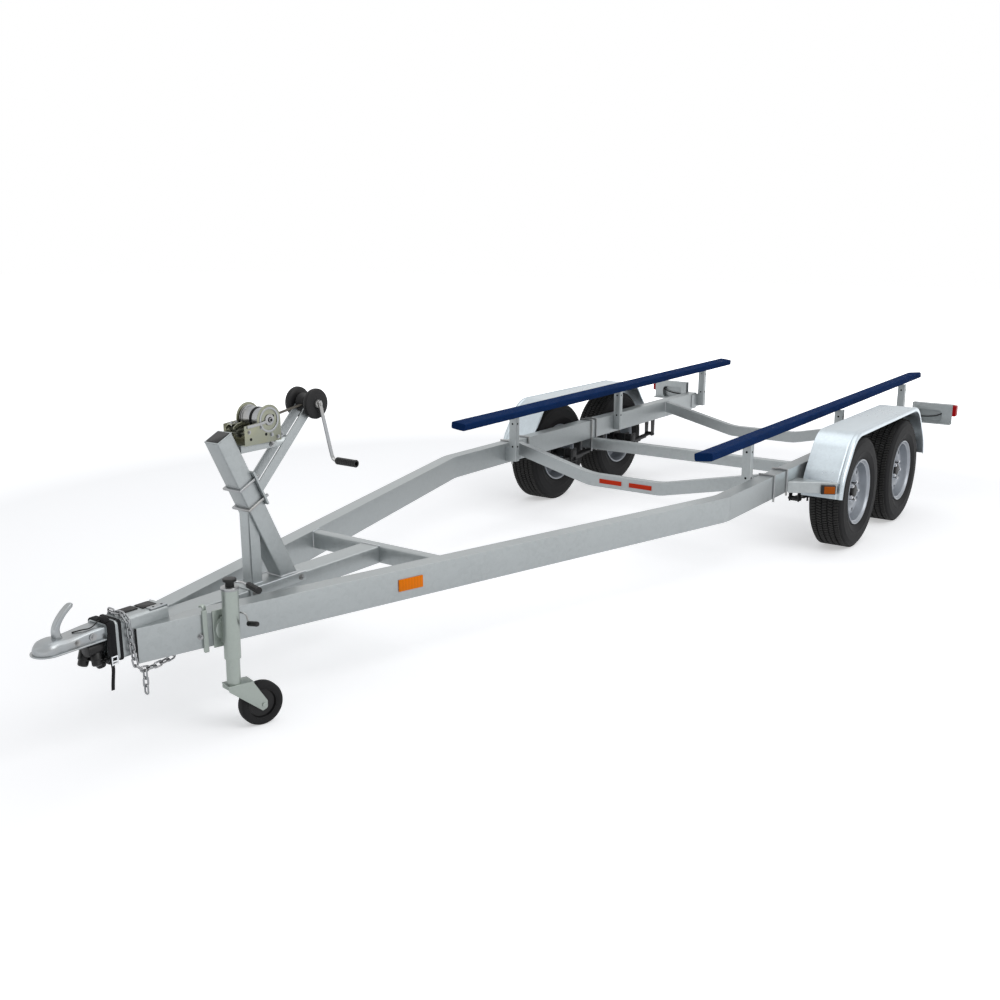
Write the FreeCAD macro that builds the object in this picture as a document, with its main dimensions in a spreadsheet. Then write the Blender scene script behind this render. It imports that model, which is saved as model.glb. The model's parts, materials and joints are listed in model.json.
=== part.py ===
import FreeCAD, Part
import math
import os

import Sketcher

# Boat trailer with two axles, padded bunks, a winch post and a swivel jack.
# Millimetres. In the trailer's own frame X runs forward to the coupler, Y to the left and Z up,
# x = 0 is midway between the axles and z = 0 is the ground under the tyres.
# The trailer is parked slightly nose down on its jack, so every node but the jack's is
# turned by that angle about Y, and the whole is centred along X.

doc = FreeCAD.newDocument("boat_trailer")
sheet = doc.addObject("Spreadsheet::Sheet", "size")


class Size:
    """A size with its value and the expression that works it out from the sheet."""

    def __init__(self, value, text):
        self.value = float(value)
        self.text = text

    def joined(self, other, sign, value):
        return Size(value, f"({self.text} {sign} {other.text})")

    def __add__(self, other):
        other = as_size(other)
        return self.joined(other, "+", self.value + other.value)

    def __sub__(self, other):
        other = as_size(other)
        return self.joined(other, "-", self.value - other.value)

    def __mul__(self, other):
        other = as_size(other)
        return self.joined(other, "*", self.value * other.value)

    def __truediv__(self, other):
        other = as_size(other)
        return self.joined(other, "/", self.value / other.value)

    def __neg__(self):
        return Size(-self.value, f"(0 - {self.text})")

    def __radd__(self, other):
        return as_size(other) + self

    def __rsub__(self, other):
        return as_size(other) - self

    def __rmul__(self, other):
        return as_size(other) * self

    def __rtruediv__(self, other):
        return as_size(other) / self


def as_size(number):
    if isinstance(number, Size):
        return number
    return Size(number, f"({number})")


def root(number):
    return Size(math.sqrt(number.value), f"sqrt({number.text})")


def sine(angle):
    return Size(math.sin(math.radians(angle.value)), f"sin({angle.text} * 1 deg)")


def cosine(angle):
    return Size(math.cos(math.radians(angle.value)), f"cos({angle.text} * 1 deg)")


def slope_angle(number):
    return Size(math.degrees(math.atan(number.value)), f"atan({number.text})")


def size(name, number):
    """Writes a driving dimension into the sheet and gives it back by name."""
    size.row += 1
    sheet.set(f"A{size.row}", name)
    sheet.set(f"B{size.row}", str(number))
    sheet.setAlias(f"B{size.row}", name)
    return Size(number, f"size.{name}")


size.row = 0

# Stance
nose_down = size("nose_down", 1.4)
origin_shift = size("origin_shift", -1585.2)

# Main frame
rail_height = size("rail_height", 127)
rail_width = size("rail_width", 76)
rail_wall = size("rail_wall", 5)
rail_top = size("rail_top", 549)
rail_outer_y = size("rail_outer_y", 918)
rail_rear_x = size("rail_rear_x", -1482)
bend_x = size("bend_x", 1788)
bend_round = size("bend_round", 320)
rail_front_x = size("rail_front_x", 4693)
rail_front_y = size("rail_front_y", 61)
tongue_width = size("tongue_width", 102)
tongue_height = size("tongue_height", 76)
tongue_drop = size("tongue_drop", 5)
tube_wall = size("tube_wall", 4)
brace_rear_x = size("brace_rear_x", 3397)
brace_depth = size("brace_depth", 50)
head_rear_x = size("head_rear_x", 4550)
head_front_x = size("head_front_x", 4800)
head_low = size("head_low", 454)
head_high = size("head_high", 594)
head_wall = size("head_wall", 6)
head_round = size("head_round", 14)

# Cross members
cross_height = size("cross_height", 76)
cross_depth = size("cross_depth", 50)
cross_front_x = size("cross_front_x", 1110)
cross_middle_x = size("cross_middle_x", 175)
cross_rear_x = size("cross_rear_x", -950)
cross_end_drop = size("cross_end_drop", 8)
cross_dip = size("cross_dip", 137)
cross_flat = size("cross_flat", 240)
cross_front_side = size("cross_front_side", -50)
cross_rear_side = size("cross_rear_side", -25)
cross_round = size("cross_round", 420)

# Bunks and their posts
bunk_front_x = size("bunk_front_x", 1812)
bunk_length = size("bunk_length", 3714)
bunk_width = size("bunk_width", 101)
bunk_thick = size("bunk_thick", 41)
bunk_inner_y = size("bunk_inner_y", 734)
bunk_front_z = size("bunk_front_z", 761)
bunk_rise = size("bunk_rise", 23)
bunk_tilt = size("bunk_tilt", 6)
bunk_round = size("bunk_round", 7)
post_width = size("post_width", 50)
post_depth = size("post_depth", 40)
post_wall = size("post_wall", 4)
post_front_x = size("post_front_x", 1221)
post_inset = size("post_inset", 33)
post_middle_x = size("post_middle_x", -150)
post_rear_x = size("post_rear_x", -1535)
post_low = size("post_low", 442)
end_plate = size("end_plate", 6)
seat_gap = size("seat_gap", 0.3)
bolt_tail = size("bolt_tail", 16)
bolt_behind = size("bolt_behind", 105)
bolt_ahead = size("bolt_ahead", 80)

# Axles, springs and wheels
axle_spacing = size("axle_spacing", 850)
axle_size = size("axle_size", 50)
spindle_radius = size("spindle_radius", 17)
spindle_play = size("spindle_play", 0.05)
pin_sides = 12
spring_y = size("spring_y", 880)
spring_width = size("spring_width", 45)
leaf_thick = size("leaf_thick", 8)
leaf_reach = size("leaf_reach", 320)
leaf_step = size("leaf_step", 90)
leaf_slope = size("leaf_slope", 0.05)
eye_radius = size("eye_radius", 15)
hanger_plate = size("hanger_plate", 6)
hanger_pin = size("hanger_pin", 9)
pin_tail = size("pin_tail", 10)
cheek_foot = size("cheek_foot", 8)
rocker_rise = size("rocker_rise", 4)
clamp_bar = size("clamp_bar", 10)
clamp_tail = size("clamp_tail", 36)
tyre_radius = size("tyre_radius", 336)
tyre_width = size("tyre_width", 208)
tread_width = size("tread_width", 160)
tyre_shoulder = size("tyre_shoulder", 26)
mouth_radius = size("mouth_radius", 244)
bead_step = size("bead_step", 12)
tyre_sides = 32
wheel_y = size("wheel_y", 1062)
rim_radius = size("rim_radius", 195)
barrel_radius = size("barrel_radius", 184)
barrel_wall = size("barrel_wall", 5)
rim_width = size("rim_width", 184)
flange_thick = size("flange_thick", 8)
dish_rim = size("dish_rim", 26)
crest_height = size("crest_height", 50)
crest_radius = size("crest_radius", 160)
crest_slope = size("crest_slope", 20)
pocket_radius = size("pocket_radius", 104)
rim_sides = 22
nut_circle = size("nut_circle", 57)
nut_radius = size("nut_radius", 10)
nut_height = size("nut_height", 18)
dish_face = size("dish_face", 15)
hub_radius = size("hub_radius", 60)
hub_flange = size("hub_flange", 80)
hub_flange_thick = size("hub_flange_thick", 10)
hub_depth = size("hub_depth", 74)
hub_sides = 16
spindle_length = size("spindle_length", 84)
cap_radius = size("cap_radius", 32)
cap_reach = size("cap_reach", 60)
cap_bevel = size("cap_bevel", 9)
cap_room = size("cap_room", 5)

# Fenders and lamps
fender_inner_y = size("fender_inner_y", 946)
fender_outer_y = size("fender_outer_y", 1182)
fender_above = size("fender_above", 56)
fender_low = size("fender_low", 380)
fender_ahead = size("fender_ahead", 70)
fender_fall = size("fender_fall", 202)
fender_knee = size("fender_knee", 16)
fender_knee_rise = size("fender_knee_rise", 100)
fender_bow = size("fender_bow", 260)
fender_sheet = size("fender_sheet", 3)
fender_lip = size("fender_lip", 7)
fender_round = size("fender_round", 130)
fender_bar = size("fender_bar", 65)
bar_low = size("bar_low", 414)
bar_lead = size("bar_lead", 136)
bar_tip = size("bar_tip", 8)
bar_short = size("bar_short", 27)
marker_length = size("marker_length", 80)
marker_height = size("marker_height", 50)
lamp_depth = size("lamp_depth", 18)
tail_x = size("tail_x", -1440)
tail_outer_y = size("tail_outer_y", 1200)
tail_low = size("tail_low", 490)
tail_high = size("tail_high", 630)
tail_shelf = size("tail_shelf", 45)
slot_below = size("slot_below", 44)
slot_inset = size("slot_inset", 70)
slot_round = size("slot_round", 30)
tail_lamp_height = size("tail_lamp_height", 78)
tail_lamp_inside = size("tail_lamp_inside", 20)
tail_lamp_outside = size("tail_lamp_outside", 24)
tail_lamp_depth = size("tail_lamp_depth", 50)
tail_lamp_round = size("tail_lamp_round", 8)
reflector_length = size("reflector_length", 116)
reflector_height = size("reflector_height", 50)
reflector_x = size("reflector_x", 3624)
reflector_thick = size("reflector_thick", 5)
strip_length = size("strip_length", 153)
strip_height = size("strip_height", 27)
strip_gap = size("strip_gap", 53)
strip_side = size("strip_side", -38)
lens_thick = size("lens_thick", 4)

# Winch post
post_size = size("post_size", 76)
post_foot_x = size("post_foot_x", 3960)
post_lean = size("post_lean", 25.5)
post_length = size("post_length", 648)
foot_plate = size("foot_plate", 6)
foot_length = size("foot_length", 290)
foot_behind = size("foot_behind", 70)
foot_skirt = size("foot_skirt", 34)
cap_sheet = size("cap_sheet", 3)
strut_size = size("strut_size", 52)
strut_x = size("strut_x", 4117)
clamp_along = size("clamp_along", 396)
clamp_length = size("clamp_length", 150)
clamp_width = size("clamp_width", 104)
clamp_plate = size("clamp_plate", 8)
clamp_rod = size("clamp_rod", 5)
clamp_spread = size("clamp_spread", 90)
arm_y = size("arm_y", 29)
arm_thick = size("arm_thick", 6)
arm_width = size("arm_width", 40)
roller_x = size("roller_x", 3790)
roller_z = size("roller_z", 1208)
roller_radius = size("roller_radius", 60)
roller_disc = size("roller_disc", 28)
roller_waist = size("roller_waist", 27)
roller_shaft = size("roller_shaft", 8)
roller_gap = size("roller_gap", 2)
roller_flare = size("roller_flare", 38)
roller_edge = size("roller_edge", 4)
roller_sides = 24
shelf_z = size("shelf_z", 1066)
shelf_height = size("shelf_height", 30)
shelf_behind = size("shelf_behind", 118)
arm_below = size("arm_below", 12)
arm_tip_round = size("arm_tip_round", 19)
crank_reach = size("crank_reach", 240)
crank_swing = size("crank_swing", 14)
crank_rod = size("crank_rod", 7)
crank_boss = size("crank_boss", 12)
crank_step = size("crank_step", 14)
crank_neck = size("crank_neck", 22)
grip_length = size("grip_length", 105)
grip_radius = size("grip_radius", 15)

# Winch
winch_x = size("winch_x", 4040)
winch_rise = size("winch_rise", 84)
winch_near_y = size("winch_near_y", 52)
winch_far_y = size("winch_far_y", -62)
winch_plate = size("winch_plate", 4)
winch_plate_round = size("winch_plate_round", 57)
winch_front_x = size("winch_front_x", 4160)
winch_edge = size("winch_edge", 74)
winch_sides = 24
gear_depth = size("gear_depth", 62)
gear_ahead = size("gear_ahead", 14)
gear_width = size("gear_width", 66)
drum_play = size("drum_play", 3)
drum_end = size("drum_end", 12)
drum_sides = 20
drum_radius = size("drum_radius", 34)
drum_flange = size("drum_flange", 48)
drum_flange_thick = size("drum_flange_thick", 4)
band_thick = size("band_thick", 3)
band_width = size("band_width", 22)
band_drop = size("band_drop", 6)

# Coupler
coupler_low = size("coupler_low", 542)
coupler_wall = size("coupler_wall", 5)
coupler_inset = size("coupler_inset", 70)
coupler_drop = size("coupler_drop", 12)
coupler_slope_x = size("coupler_slope_x", 20)
flange_width = size("flange_width", 112)
ball_x = size("ball_x", 4986)
ball_bore = size("ball_bore", 25.4)
ball_depth = size("ball_depth", 24)
nose_radius = size("nose_radius", 46)
socket_wall = size("socket_wall", 40)
lever_width = size("lever_width", 24)
lever_back_x = size("lever_back_x", 30)
lever_heel = size("lever_heel", 10)
lever_sole = size("lever_sole", 26)
lever_knee = size("lever_knee", 54)
lever_sweep = size("lever_sweep", 62)
lever_rise = size("lever_rise", 108)
lever_tip = size("lever_tip", 12)
strap_width = size("strap_width", 34)
strap_thick = size("strap_thick", 4)
plug_radius = size("plug_radius", 24)
plug_length = size("plug_length", 62)
plug_gap = size("plug_gap", 8)

# Safety chain
link_length = size("link_length", 40)
link_width = size("link_width", 22)
link_wire = size("link_wire", 4.8)
link_pitch = size("link_pitch", 27.8)
chain_along = size("chain_along", 175)
chain_back = size("chain_back", 77)
chain_lift = size("chain_lift", 11.5)

# Jack
jack_x = size("jack_x", 4408)
jack_standoff = size("jack_standoff", 62)
jack_tube = size("jack_tube", 30)
jack_inner = size("jack_inner", 25)
jack_wall = size("jack_wall", 3)
jack_play = size("jack_play", 0.4)
jack_top = size("jack_top", 536)
jack_tube_low = size("jack_tube_low", 278)
jack_leg_high = size("jack_leg_high", 420)
jack_cap_radius = size("jack_cap_radius", 24)
jack_cap_stem = size("jack_cap_stem", 16)
jack_cap_height = size("jack_cap_height", 36)
cap_rim = size("cap_rim", 8)
jack_wheel_radius = size("jack_wheel_radius", 83)
jack_wheel_width = size("jack_wheel_width", 44)
jack_trail = size("jack_trail", 100)
fork_gap = size("fork_gap", 4)
fork_plate = size("fork_plate", 5)
fork_top = size("fork_top", 178)
jack_axle = size("jack_axle", 8)
bracket_height = size("bracket_height", 140)
bracket_width = size("bracket_width", 90)
bracket_plate = size("bracket_plate", 8)
swivel_radius = size("swivel_radius", 42)
swivel_thick = size("swivel_thick", 7)
swivel_pin = size("swivel_pin", 12)
swivel_gap = size("swivel_gap", 1.5)
swivel_play = size("swivel_play", 0.6)
jack_handle = size("jack_handle", 70)
handle_rod = size("handle_rod", 5)
handle_drop = size("handle_drop", 16)
handle_grip = size("handle_grip", 12)
handle_length = size("handle_length", 72)
jack_seat = size("jack_seat", 56)
jack_web = size("jack_web", 7)
jack_boss_radius = size("jack_boss_radius", 22)
jack_shoulder = size("jack_shoulder", 8)
jack_sides = 24
tube_sides = 20
neck_width = size("neck_width", 44)
neck_height = size("neck_height", 96)
fork_heel = size("fork_heel", 6)
fork_drop = size("fork_drop", 16)
fork_tip = size("fork_tip", 14)
fork_reach = size("fork_reach", 40)
fork_tip_round = size("fork_tip_round", 11)
bolt_rod = size("bolt_rod", 5)

# Values worked out from the sizes above
rail_low = rail_top - rail_height
rail_inner_y = rail_outer_y - rail_width
taper = (rail_outer_y - rail_front_y) / (rail_front_x - bend_x)
taper_stretch = root(1 + taper * taper)
rail_turn = slope_angle(0 - taper)
tongue_side = tongue_width / 2
tongue_top = rail_top - tongue_drop
tongue_low = tongue_top - tongue_height
axle_half = axle_spacing / 2
fender_half = axle_half + tyre_radius + fender_ahead
fender_top = 2 * tyre_radius + fender_above
lean_sine = sine(nose_down)
lean_cosine = cosine(nose_down)
bunk_slope = bunk_rise / bunk_length
bunk_slope_stretch = root(1 + bunk_slope * bunk_slope)
tilt_sine = sine(bunk_tilt)
tilt_cosine = cosine(bunk_tilt)


def rail_face_y(x):
    """Distance of a converging rail's outer face from the centre line."""
    return rail_front_y + taper * (rail_front_x - x)


def wheel_z(x):
    """Height of a wheel's centre in the trailer's frame, with the tyre on level ground."""
    return (tyre_radius + x * lean_sine) / lean_cosine


def bind(thing, path, number):
    thing.setExpression(path, as_size(number).text)


def place(thing, x, y, z):
    bind(thing, "Placement.Base.x", x)
    bind(thing, "Placement.Base.y", y)
    bind(thing, "Placement.Base.z", z)
    return thing


def turn(thing, axis, angle):
    thing.Placement = FreeCAD.Placement(FreeCAD.Vector(), FreeCAD.Rotation(axis, 1))
    bind(thing, "Placement.Rotation.Angle", angle)
    return thing


ALONG_X = FreeCAD.Vector(1, 0, 0)
ALONG_Y = FreeCAD.Vector(0, 1, 0)
ALONG_Z = FreeCAD.Vector(0, 0, 1)


def block(name, length, width, height, x, y, z):
    thing = doc.addObject("Part::Box", name)
    bind(thing, "Length", length)
    bind(thing, "Width", width)
    bind(thing, "Height", height)
    return place(thing, x, y, z)


def rod(name, radius, length, x, y, z, direction=ALONG_Z):
    thing = doc.addObject("Part::Cylinder", name)
    bind(thing, "Radius", radius)
    bind(thing, "Height", length)
    thing.Placement = FreeCAD.Placement(FreeCAD.Vector(), FreeCAD.Rotation(ALONG_Z, direction))
    return place(thing, x, y, z)


def cut(name, base, tool):
    thing = doc.addObject("Part::Cut", name)
    thing.Base = base
    thing.Tool = tool
    return thing


def fuse(name, parts):
    thing = doc.addObject("Part::MultiFuse", name)
    thing.Shapes = parts
    thing.Refine = True
    return thing


def group(name, parts):
    thing = doc.addObject("Part::Compound", name)
    thing.Links = parts
    return thing


def mirrored(name, part):
    thing = doc.addObject("Part::Mirroring", name)
    thing.Source = part
    thing.Base = FreeCAD.Vector(0, 0, 0)
    thing.Normal = ALONG_Y
    return thing


def inset(points, distance):
    """Shifts an open line of points to its right by a distance, keeping its turns."""
    moved = []
    for index in range(len(points)):
        sides = []
        for first, second in ((index - 1, index), (index, index + 1)):
            if first < 0 or second >= len(points):
                continue
            run_x = points[second][0] - points[first][0]
            run_y = points[second][1] - points[first][1]
            length = root(run_x * run_x + run_y * run_y)
            sides.append((run_y / length, -run_x / length))
        if len(sides) == 1:
            sides.append(sides[0])
        (ax, ay), (bx, by) = sides
        share = distance / (1 + ax * bx + ay * by)
        moved.append((points[index][0] + (ax + bx) * share, points[index][1] + (ay + by) * share))
    return moved


def corner_arc(before, corner, after, radius):
    """Start, middle and end of the round that fits a corner."""
    here = FreeCAD.Vector(*corner, 0)
    back = (FreeCAD.Vector(*before, 0) - here).normalize()
    ahead = (FreeCAD.Vector(*after, 0) - here).normalize()
    half = back.getAngle(ahead) / 2
    reach = radius / math.tan(half)
    toward = (back + ahead).normalize()
    centre = here + toward * (radius / math.sin(half))
    return here + back * reach, centre - toward * radius, here + ahead * reach


def outline(sketch, points, rounds=None):
    """Draws an outline whose corners are tied to the sheet, with rounds at some corners."""
    rounds = rounds or {}
    flat = [(as_size(x), as_size(y)) for x, y in points]
    plain = [(x.value, y.value) for x, y in flat]
    count = len(plain)
    arcs = {}
    for index, radius in rounds.items():
        index = index % count
        arcs[index] = corner_arc(
            plain[index - 1], plain[index], plain[(index + 1) % count], as_size(radius).value
        )
    lines = []
    for index in range(count):
        after = (index + 1) % count
        start = arcs[index][2] if index in arcs else FreeCAD.Vector(*plain[index], 0)
        end = arcs[after][0] if after in arcs else FreeCAD.Vector(*plain[after], 0)
        lines.append(sketch.addGeometry(Part.LineSegment(start, end), False))
    for index in range(count):
        before = lines[index - 1]
        x, y = flat[index]
        if index in arcs:
            start, middle, end = arcs[index]
            bow = sketch.addGeometry(Part.Arc(start, middle, end), False)
            tip = sketch.addGeometry(Part.Point(FreeCAD.Vector(*plain[index], 0)), True)
            starts_first = sketch.getPoint(bow, 1).distanceToPoint(start) < 0.01
            near, far = (1, 2) if starts_first else (2, 1)
            sketch.addConstraint(Sketcher.Constraint("Tangent", before, 2, bow, near))
            sketch.addConstraint(Sketcher.Constraint("Tangent", bow, far, lines[index], 1))
            sketch.addConstraint(Sketcher.Constraint("PointOnObject", tip, 1, before))
            sketch.addConstraint(Sketcher.Constraint("PointOnObject", tip, 1, lines[index]))
            radius = as_size(rounds[index] if index in rounds else rounds[index - count])
            held = sketch.addConstraint(Sketcher.Constraint("Radius", bow, radius.value))
            sketch.setExpression(f"Constraints[{held}]", radius.text)
            spot = (tip, 1)
        else:
            sketch.addConstraint(Sketcher.Constraint("Coincident", before, 2, lines[index], 1))
            spot = (lines[index], 1)
        for kind, number in (("DistanceX", x), ("DistanceY", y)):
            held = sketch.addConstraint(Sketcher.Constraint(kind, -1, 1, *spot, number.value))
            sketch.setExpression(f"Constraints[{held}]", number.text)


def new_sketch(body, name, plane, offset):
    sketch = body.newObject("Sketcher::SketchObject", name)
    role = {"XY": "XY_Plane", "XZ": "XZ_Plane", "YZ": "YZ_Plane"}[plane]
    base = [item for item in body.Origin.OriginFeatures if item.Role == role][0]
    sketch.AttachmentSupport = [(base, "")]
    sketch.MapMode = "FlatFace"
    bind(sketch, "AttachmentOffset.Base.z", offset)
    return sketch


def slab(name, plane, points, start, thick, rounds=None):
    """A flat-sided piece: an outline on a plane, as thick as given from a start along its axis."""
    body = doc.addObject("PartDesign::Body", name)
    start = as_size(start)
    thick = as_size(thick)
    offset = -(start + thick) if plane == "XZ" else start
    sketch = new_sketch(body, name + "_outline", plane, offset)
    outline(sketch, points, rounds)
    pad = body.newObject("PartDesign::Pad", name + "_pad")
    pad.Profile = sketch
    bind(pad, "Length", thick)
    return body


def many_sided(name, sides, radius, start, length, reach=None, depth=None, ends=(1, 2)):
    """A many-sided bar about Y whose ends are bevelled, by a reach along it and a depth inward."""
    body = doc.addObject("PartDesign::Body", name)
    prism = body.newObject("PartDesign::AdditivePrism", name + "_prism")
    prism.Polygon = sides
    bind(prism, "Circumradius", radius)
    bind(prism, "Height", length)
    prism.Placement = FreeCAD.Placement(FreeCAD.Vector(), FreeCAD.Rotation(ALONG_Z, ALONG_Y))
    bind(prism, "Placement.Base.y", start)
    if reach is not None:
        bevel = body.newObject("PartDesign::Chamfer", name + "_bevel")
        bevel.Base = (prism, [f"Face{sides + end}" for end in ends])
        bevel.ChamferType = "Two distances"
        bind(bevel, "Size", reach)
        bind(bevel, "Size2", depth)
    return body


def bar(name, sides, radius, length, x, y, z, direction=ALONG_Z):
    """A straight bar with flat sides."""
    thing = doc.addObject("Part::Prism", name)
    thing.Polygon = sides
    bind(thing, "Circumradius", radius)
    bind(thing, "Height", length)
    thing.Placement = FreeCAD.Placement(FreeCAD.Vector(), FreeCAD.Rotation(ALONG_Z, direction))
    return place(thing, x, y, z)


nodes = []


def node(name, parts, upright=False):
    """Gathers the solids of one named piece and stands it as the parked trailer stands."""
    thing = group("node_" + name, parts)
    thing.Label = name
    angle = 0 if upright else nose_down
    turn(thing, ALONG_Y, angle)
    bind(thing, "Placement.Base.x", origin_shift)
    nodes.append(thing)
    return thing


def on_both_sides(name, parts):
    """One piece on the left and its mirror image on the right."""
    node(name + "_left", parts)
    node(name + "_right", [mirrored(f"{name}_mirror_{index}", part) for index, part in enumerate(parts)])


def both_sides(name, parts):
    """Like pieces of the left and their mirror images on the right, as one node."""
    node(name, parts + [mirrored(f"{name}_mirror_{index}", part) for index, part in enumerate(parts)])


def square_tube(name, length, width, height, wall, x, y, z):
    """A tube along X with a rectangular section, open at both ends."""
    outer = block(name + "_outer", length, width, height, x, y, z)
    inner = block(name + "_inner", length, width - 2 * wall, height - 2 * wall, x, y + wall, z + wall)
    return cut(name, outer, inner)


def staple(name, plane, radius, low, high, foot, head, depth):
    """A square bar bent to a U in a plane: its legs from foot to head, the bow at the head."""
    lean = -radius if head.value > foot.value else radius
    points = [(low - radius, foot), (low + radius, foot), (low + radius, head + lean),
              (high - radius, head + lean), (high - radius, foot), (high + radius, foot),
              (high + radius, head - lean), (low - radius, head - lean)]
    return slab(name, plane, points, depth - radius, 2 * radius)


# Side rails: bent rectangular tubes, mitred against the tongue
def side_rail():
    start_y = rail_outer_y
    outer = [(rail_rear_x, start_y), (bend_x, start_y), (rail_front_x, rail_front_y)]
    inner = inset(outer, rail_width)
    meet_x = rail_front_x - (tongue_side + rail_width * taper_stretch - rail_front_y) / taper
    plan = outer + [(rail_front_x, tongue_side), (meet_x, tongue_side), inner[1], inner[0]]
    solid = slab("rail_solid", "XY", plan, rail_low, rail_height,
                 {1: bend_round, 5: bend_round - rail_width})
    skin = inset(outer, rail_wall)
    core = inset(outer, rail_width - rail_wall)
    spare = 2 * rail_wall
    core_y = tongue_side + (rail_width - rail_wall) * taper_stretch
    core_meet = rail_front_x - (core_y - rail_front_y) / taper
    past_x = rail_front_x + spare
    past_y = rail_front_y - taper * spare - rail_wall * taper_stretch
    hollow = [
        (rail_rear_x - spare, skin[0][1]), skin[1], (past_x, past_y),
        (past_x, tongue_side - spare), (core_meet + spare / taper, tongue_side - spare),
        core[1], (rail_rear_x - spare, core[0][1]),
    ]
    void = slab("rail_void", "XY", hollow, rail_low + rail_wall, rail_height - 2 * rail_wall,
                {1: bend_round - rail_wall, 5: bend_round - rail_width + rail_wall})
    return cut("rail", solid, void)


on_both_sides("rail", [side_rail()])

# Tongue, drawbar head and the brace across the converging rails
tongue_rear_x = brace_rear_x + brace_depth
node("tongue_tube", [square_tube("tongue", head_rear_x - tongue_rear_x, tongue_width, tongue_height,
                                 tube_wall, tongue_rear_x, -tongue_side, tongue_low)])


def head_box():
    def ring(name, side, low, high, rounding):
        points = [(-side, low), (side, low), (side, high), (-side, high)]
        return slab(name, "YZ", points, head_rear_x, head_front_x - head_rear_x,
                    {corner: rounding for corner in range(4)})
    outer = ring("head_outer", tongue_side, head_low, head_high, head_round)
    inner = ring("head_inner", tongue_side - head_wall, head_low + head_wall, head_high - head_wall,
                 head_round - head_wall)
    return cut("head", outer, inner)


node("drawbar_head", [head_box()])


def front_brace():
    def plan(wall):
        front_x = tongue_rear_x - wall
        rear_x = brace_rear_x + wall
        front_y = rail_face_y(front_x) - rail_width * taper_stretch
        rear_y = rail_face_y(rear_x) - rail_width * taper_stretch
        return [(rear_x, -rear_y), (front_x, -front_y), (front_x, front_y), (rear_x, rear_y)]
    solid = slab("brace_solid", "XY", plan(as_size(0)), tongue_low, tongue_height)
    void = slab("brace_void", "XY", plan(tube_wall), tongue_low + tube_wall,
                tongue_height - 2 * tube_wall)
    return cut("brace", solid, void)


node("front_brace", [front_brace()])


# Cross members: two dip below the keel, the middle one runs straight under the rails
def dipped_member(name, centre_x, side_shift):
    end_z = rail_top - cross_end_drop
    left = side_shift - cross_flat
    right = side_shift + cross_flat
    top = [(-rail_inner_y, end_z), (left, end_z - cross_dip), (right, end_z - cross_dip),
           (rail_inner_y, end_z)]

    def end_drop(depth, run):
        slope = cross_dip / run
        return end_z - depth * root(1 + slope * slope)

    def band(suffix, high, low, depth):
        upper = inset(top, high)
        lower = inset(top, low)
        side = rail_inner_y
        right_run = side - right
        left_run = side + left
        upper = [(-side, end_drop(high, left_run)), upper[1], upper[2], (side, end_drop(high, right_run))]
        lower = [(-side, end_drop(low, left_run)), lower[1], lower[2], (side, end_drop(low, right_run))]
        return slab(name + suffix, "YZ", upper + lower[::-1], centre_x - depth / 2, depth,
                    {1: cross_round - high, 2: cross_round - high,
                     5: cross_round - low, 6: cross_round - low})

    solid = band("_solid", as_size(0), cross_height, cross_depth)
    void = band("_void", tube_wall, cross_height - tube_wall, cross_depth - 2 * tube_wall)
    return cut(name, solid, void)


node("cross_member_front", [dipped_member("cross_front", cross_front_x, cross_front_side)])
node("cross_member_rear", [dipped_member("cross_rear", cross_rear_x, cross_rear_side)])

middle_outer = block("middle_outer", cross_depth, 2 * rail_outer_y, cross_height,
                     cross_middle_x - cross_depth / 2, -rail_outer_y, rail_low - cross_height)
middle_inner = block("middle_inner", cross_depth - 2 * tube_wall, 2 * rail_outer_y,
                     cross_height - 2 * tube_wall, cross_middle_x - cross_depth / 2 + tube_wall,
                     -rail_outer_y, rail_low - cross_height + tube_wall)
node("cross_member_middle", [cut("middle", middle_outer, middle_inner)])


# Bunks: planks tilted to the hull, on channel posts beside the rails
def bunk():
    section = [(0, -bunk_thick), (bunk_width, -bunk_thick), (bunk_width, 0), (0, 0)]
    plank = slab("plank", "YZ", section, -bunk_length, bunk_length,
                 {corner: bunk_round for corner in range(4)})
    tilted = turn(group("plank_tilted", [plank]), ALONG_X, bunk_tilt)
    sloped = turn(group("plank_sloped", [tilted]), ALONG_Y, slope_angle(bunk_slope))
    return place(sloped, bunk_front_x, bunk_inner_y, bunk_front_z)


on_both_sides("bunk", [bunk()])


def bunk_underside(x, y):
    """Height of the bunk's lower face above a point of the frame."""
    inner_edge = bunk_front_z + bunk_slope * (bunk_front_x - x)
    return inner_edge + ((y - bunk_inner_y) * tilt_sine - bunk_thick) / tilt_cosine


def bunk_post(name, x, outer_y):
    inner_y = outer_y - post_width
    high = bunk_underside(x + post_depth, inner_y) - seat_gap
    section = [(0, inner_y), (post_depth, inner_y), (post_depth, outer_y), (0, outer_y),
               (0, outer_y - post_wall), (post_depth - post_wall, outer_y - post_wall),
               (post_depth - post_wall, inner_y + post_wall), (0, inner_y + post_wall)]
    return slab(name, "XY", [(x + px, py) for px, py in section], post_low, high - post_low)


end_bracket = block("end_bracket", rail_rear_x - post_rear_x + 2 * post_width, end_plate,
                    rail_height - 4 * end_plate, post_rear_x - end_plate, rail_inner_y - end_plate,
                    rail_low + 2 * end_plate)
front_spacer = block("front_spacer", post_depth, post_inset, rail_height - 6 * end_plate, post_front_x,
                     rail_inner_y - post_inset, rail_low + 3 * end_plate)
both_sides("bunk_posts", [
    fuse("post_front_on_spacer", [bunk_post("post_front", post_front_x, rail_inner_y - post_inset),
                                  front_spacer]),
    bunk_post("post_middle", post_middle_x, rail_inner_y),
    fuse("post_rear_on_bracket", [bunk_post("post_rear", post_rear_x, rail_inner_y - end_plate),
                                  end_bracket]),
])

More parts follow.
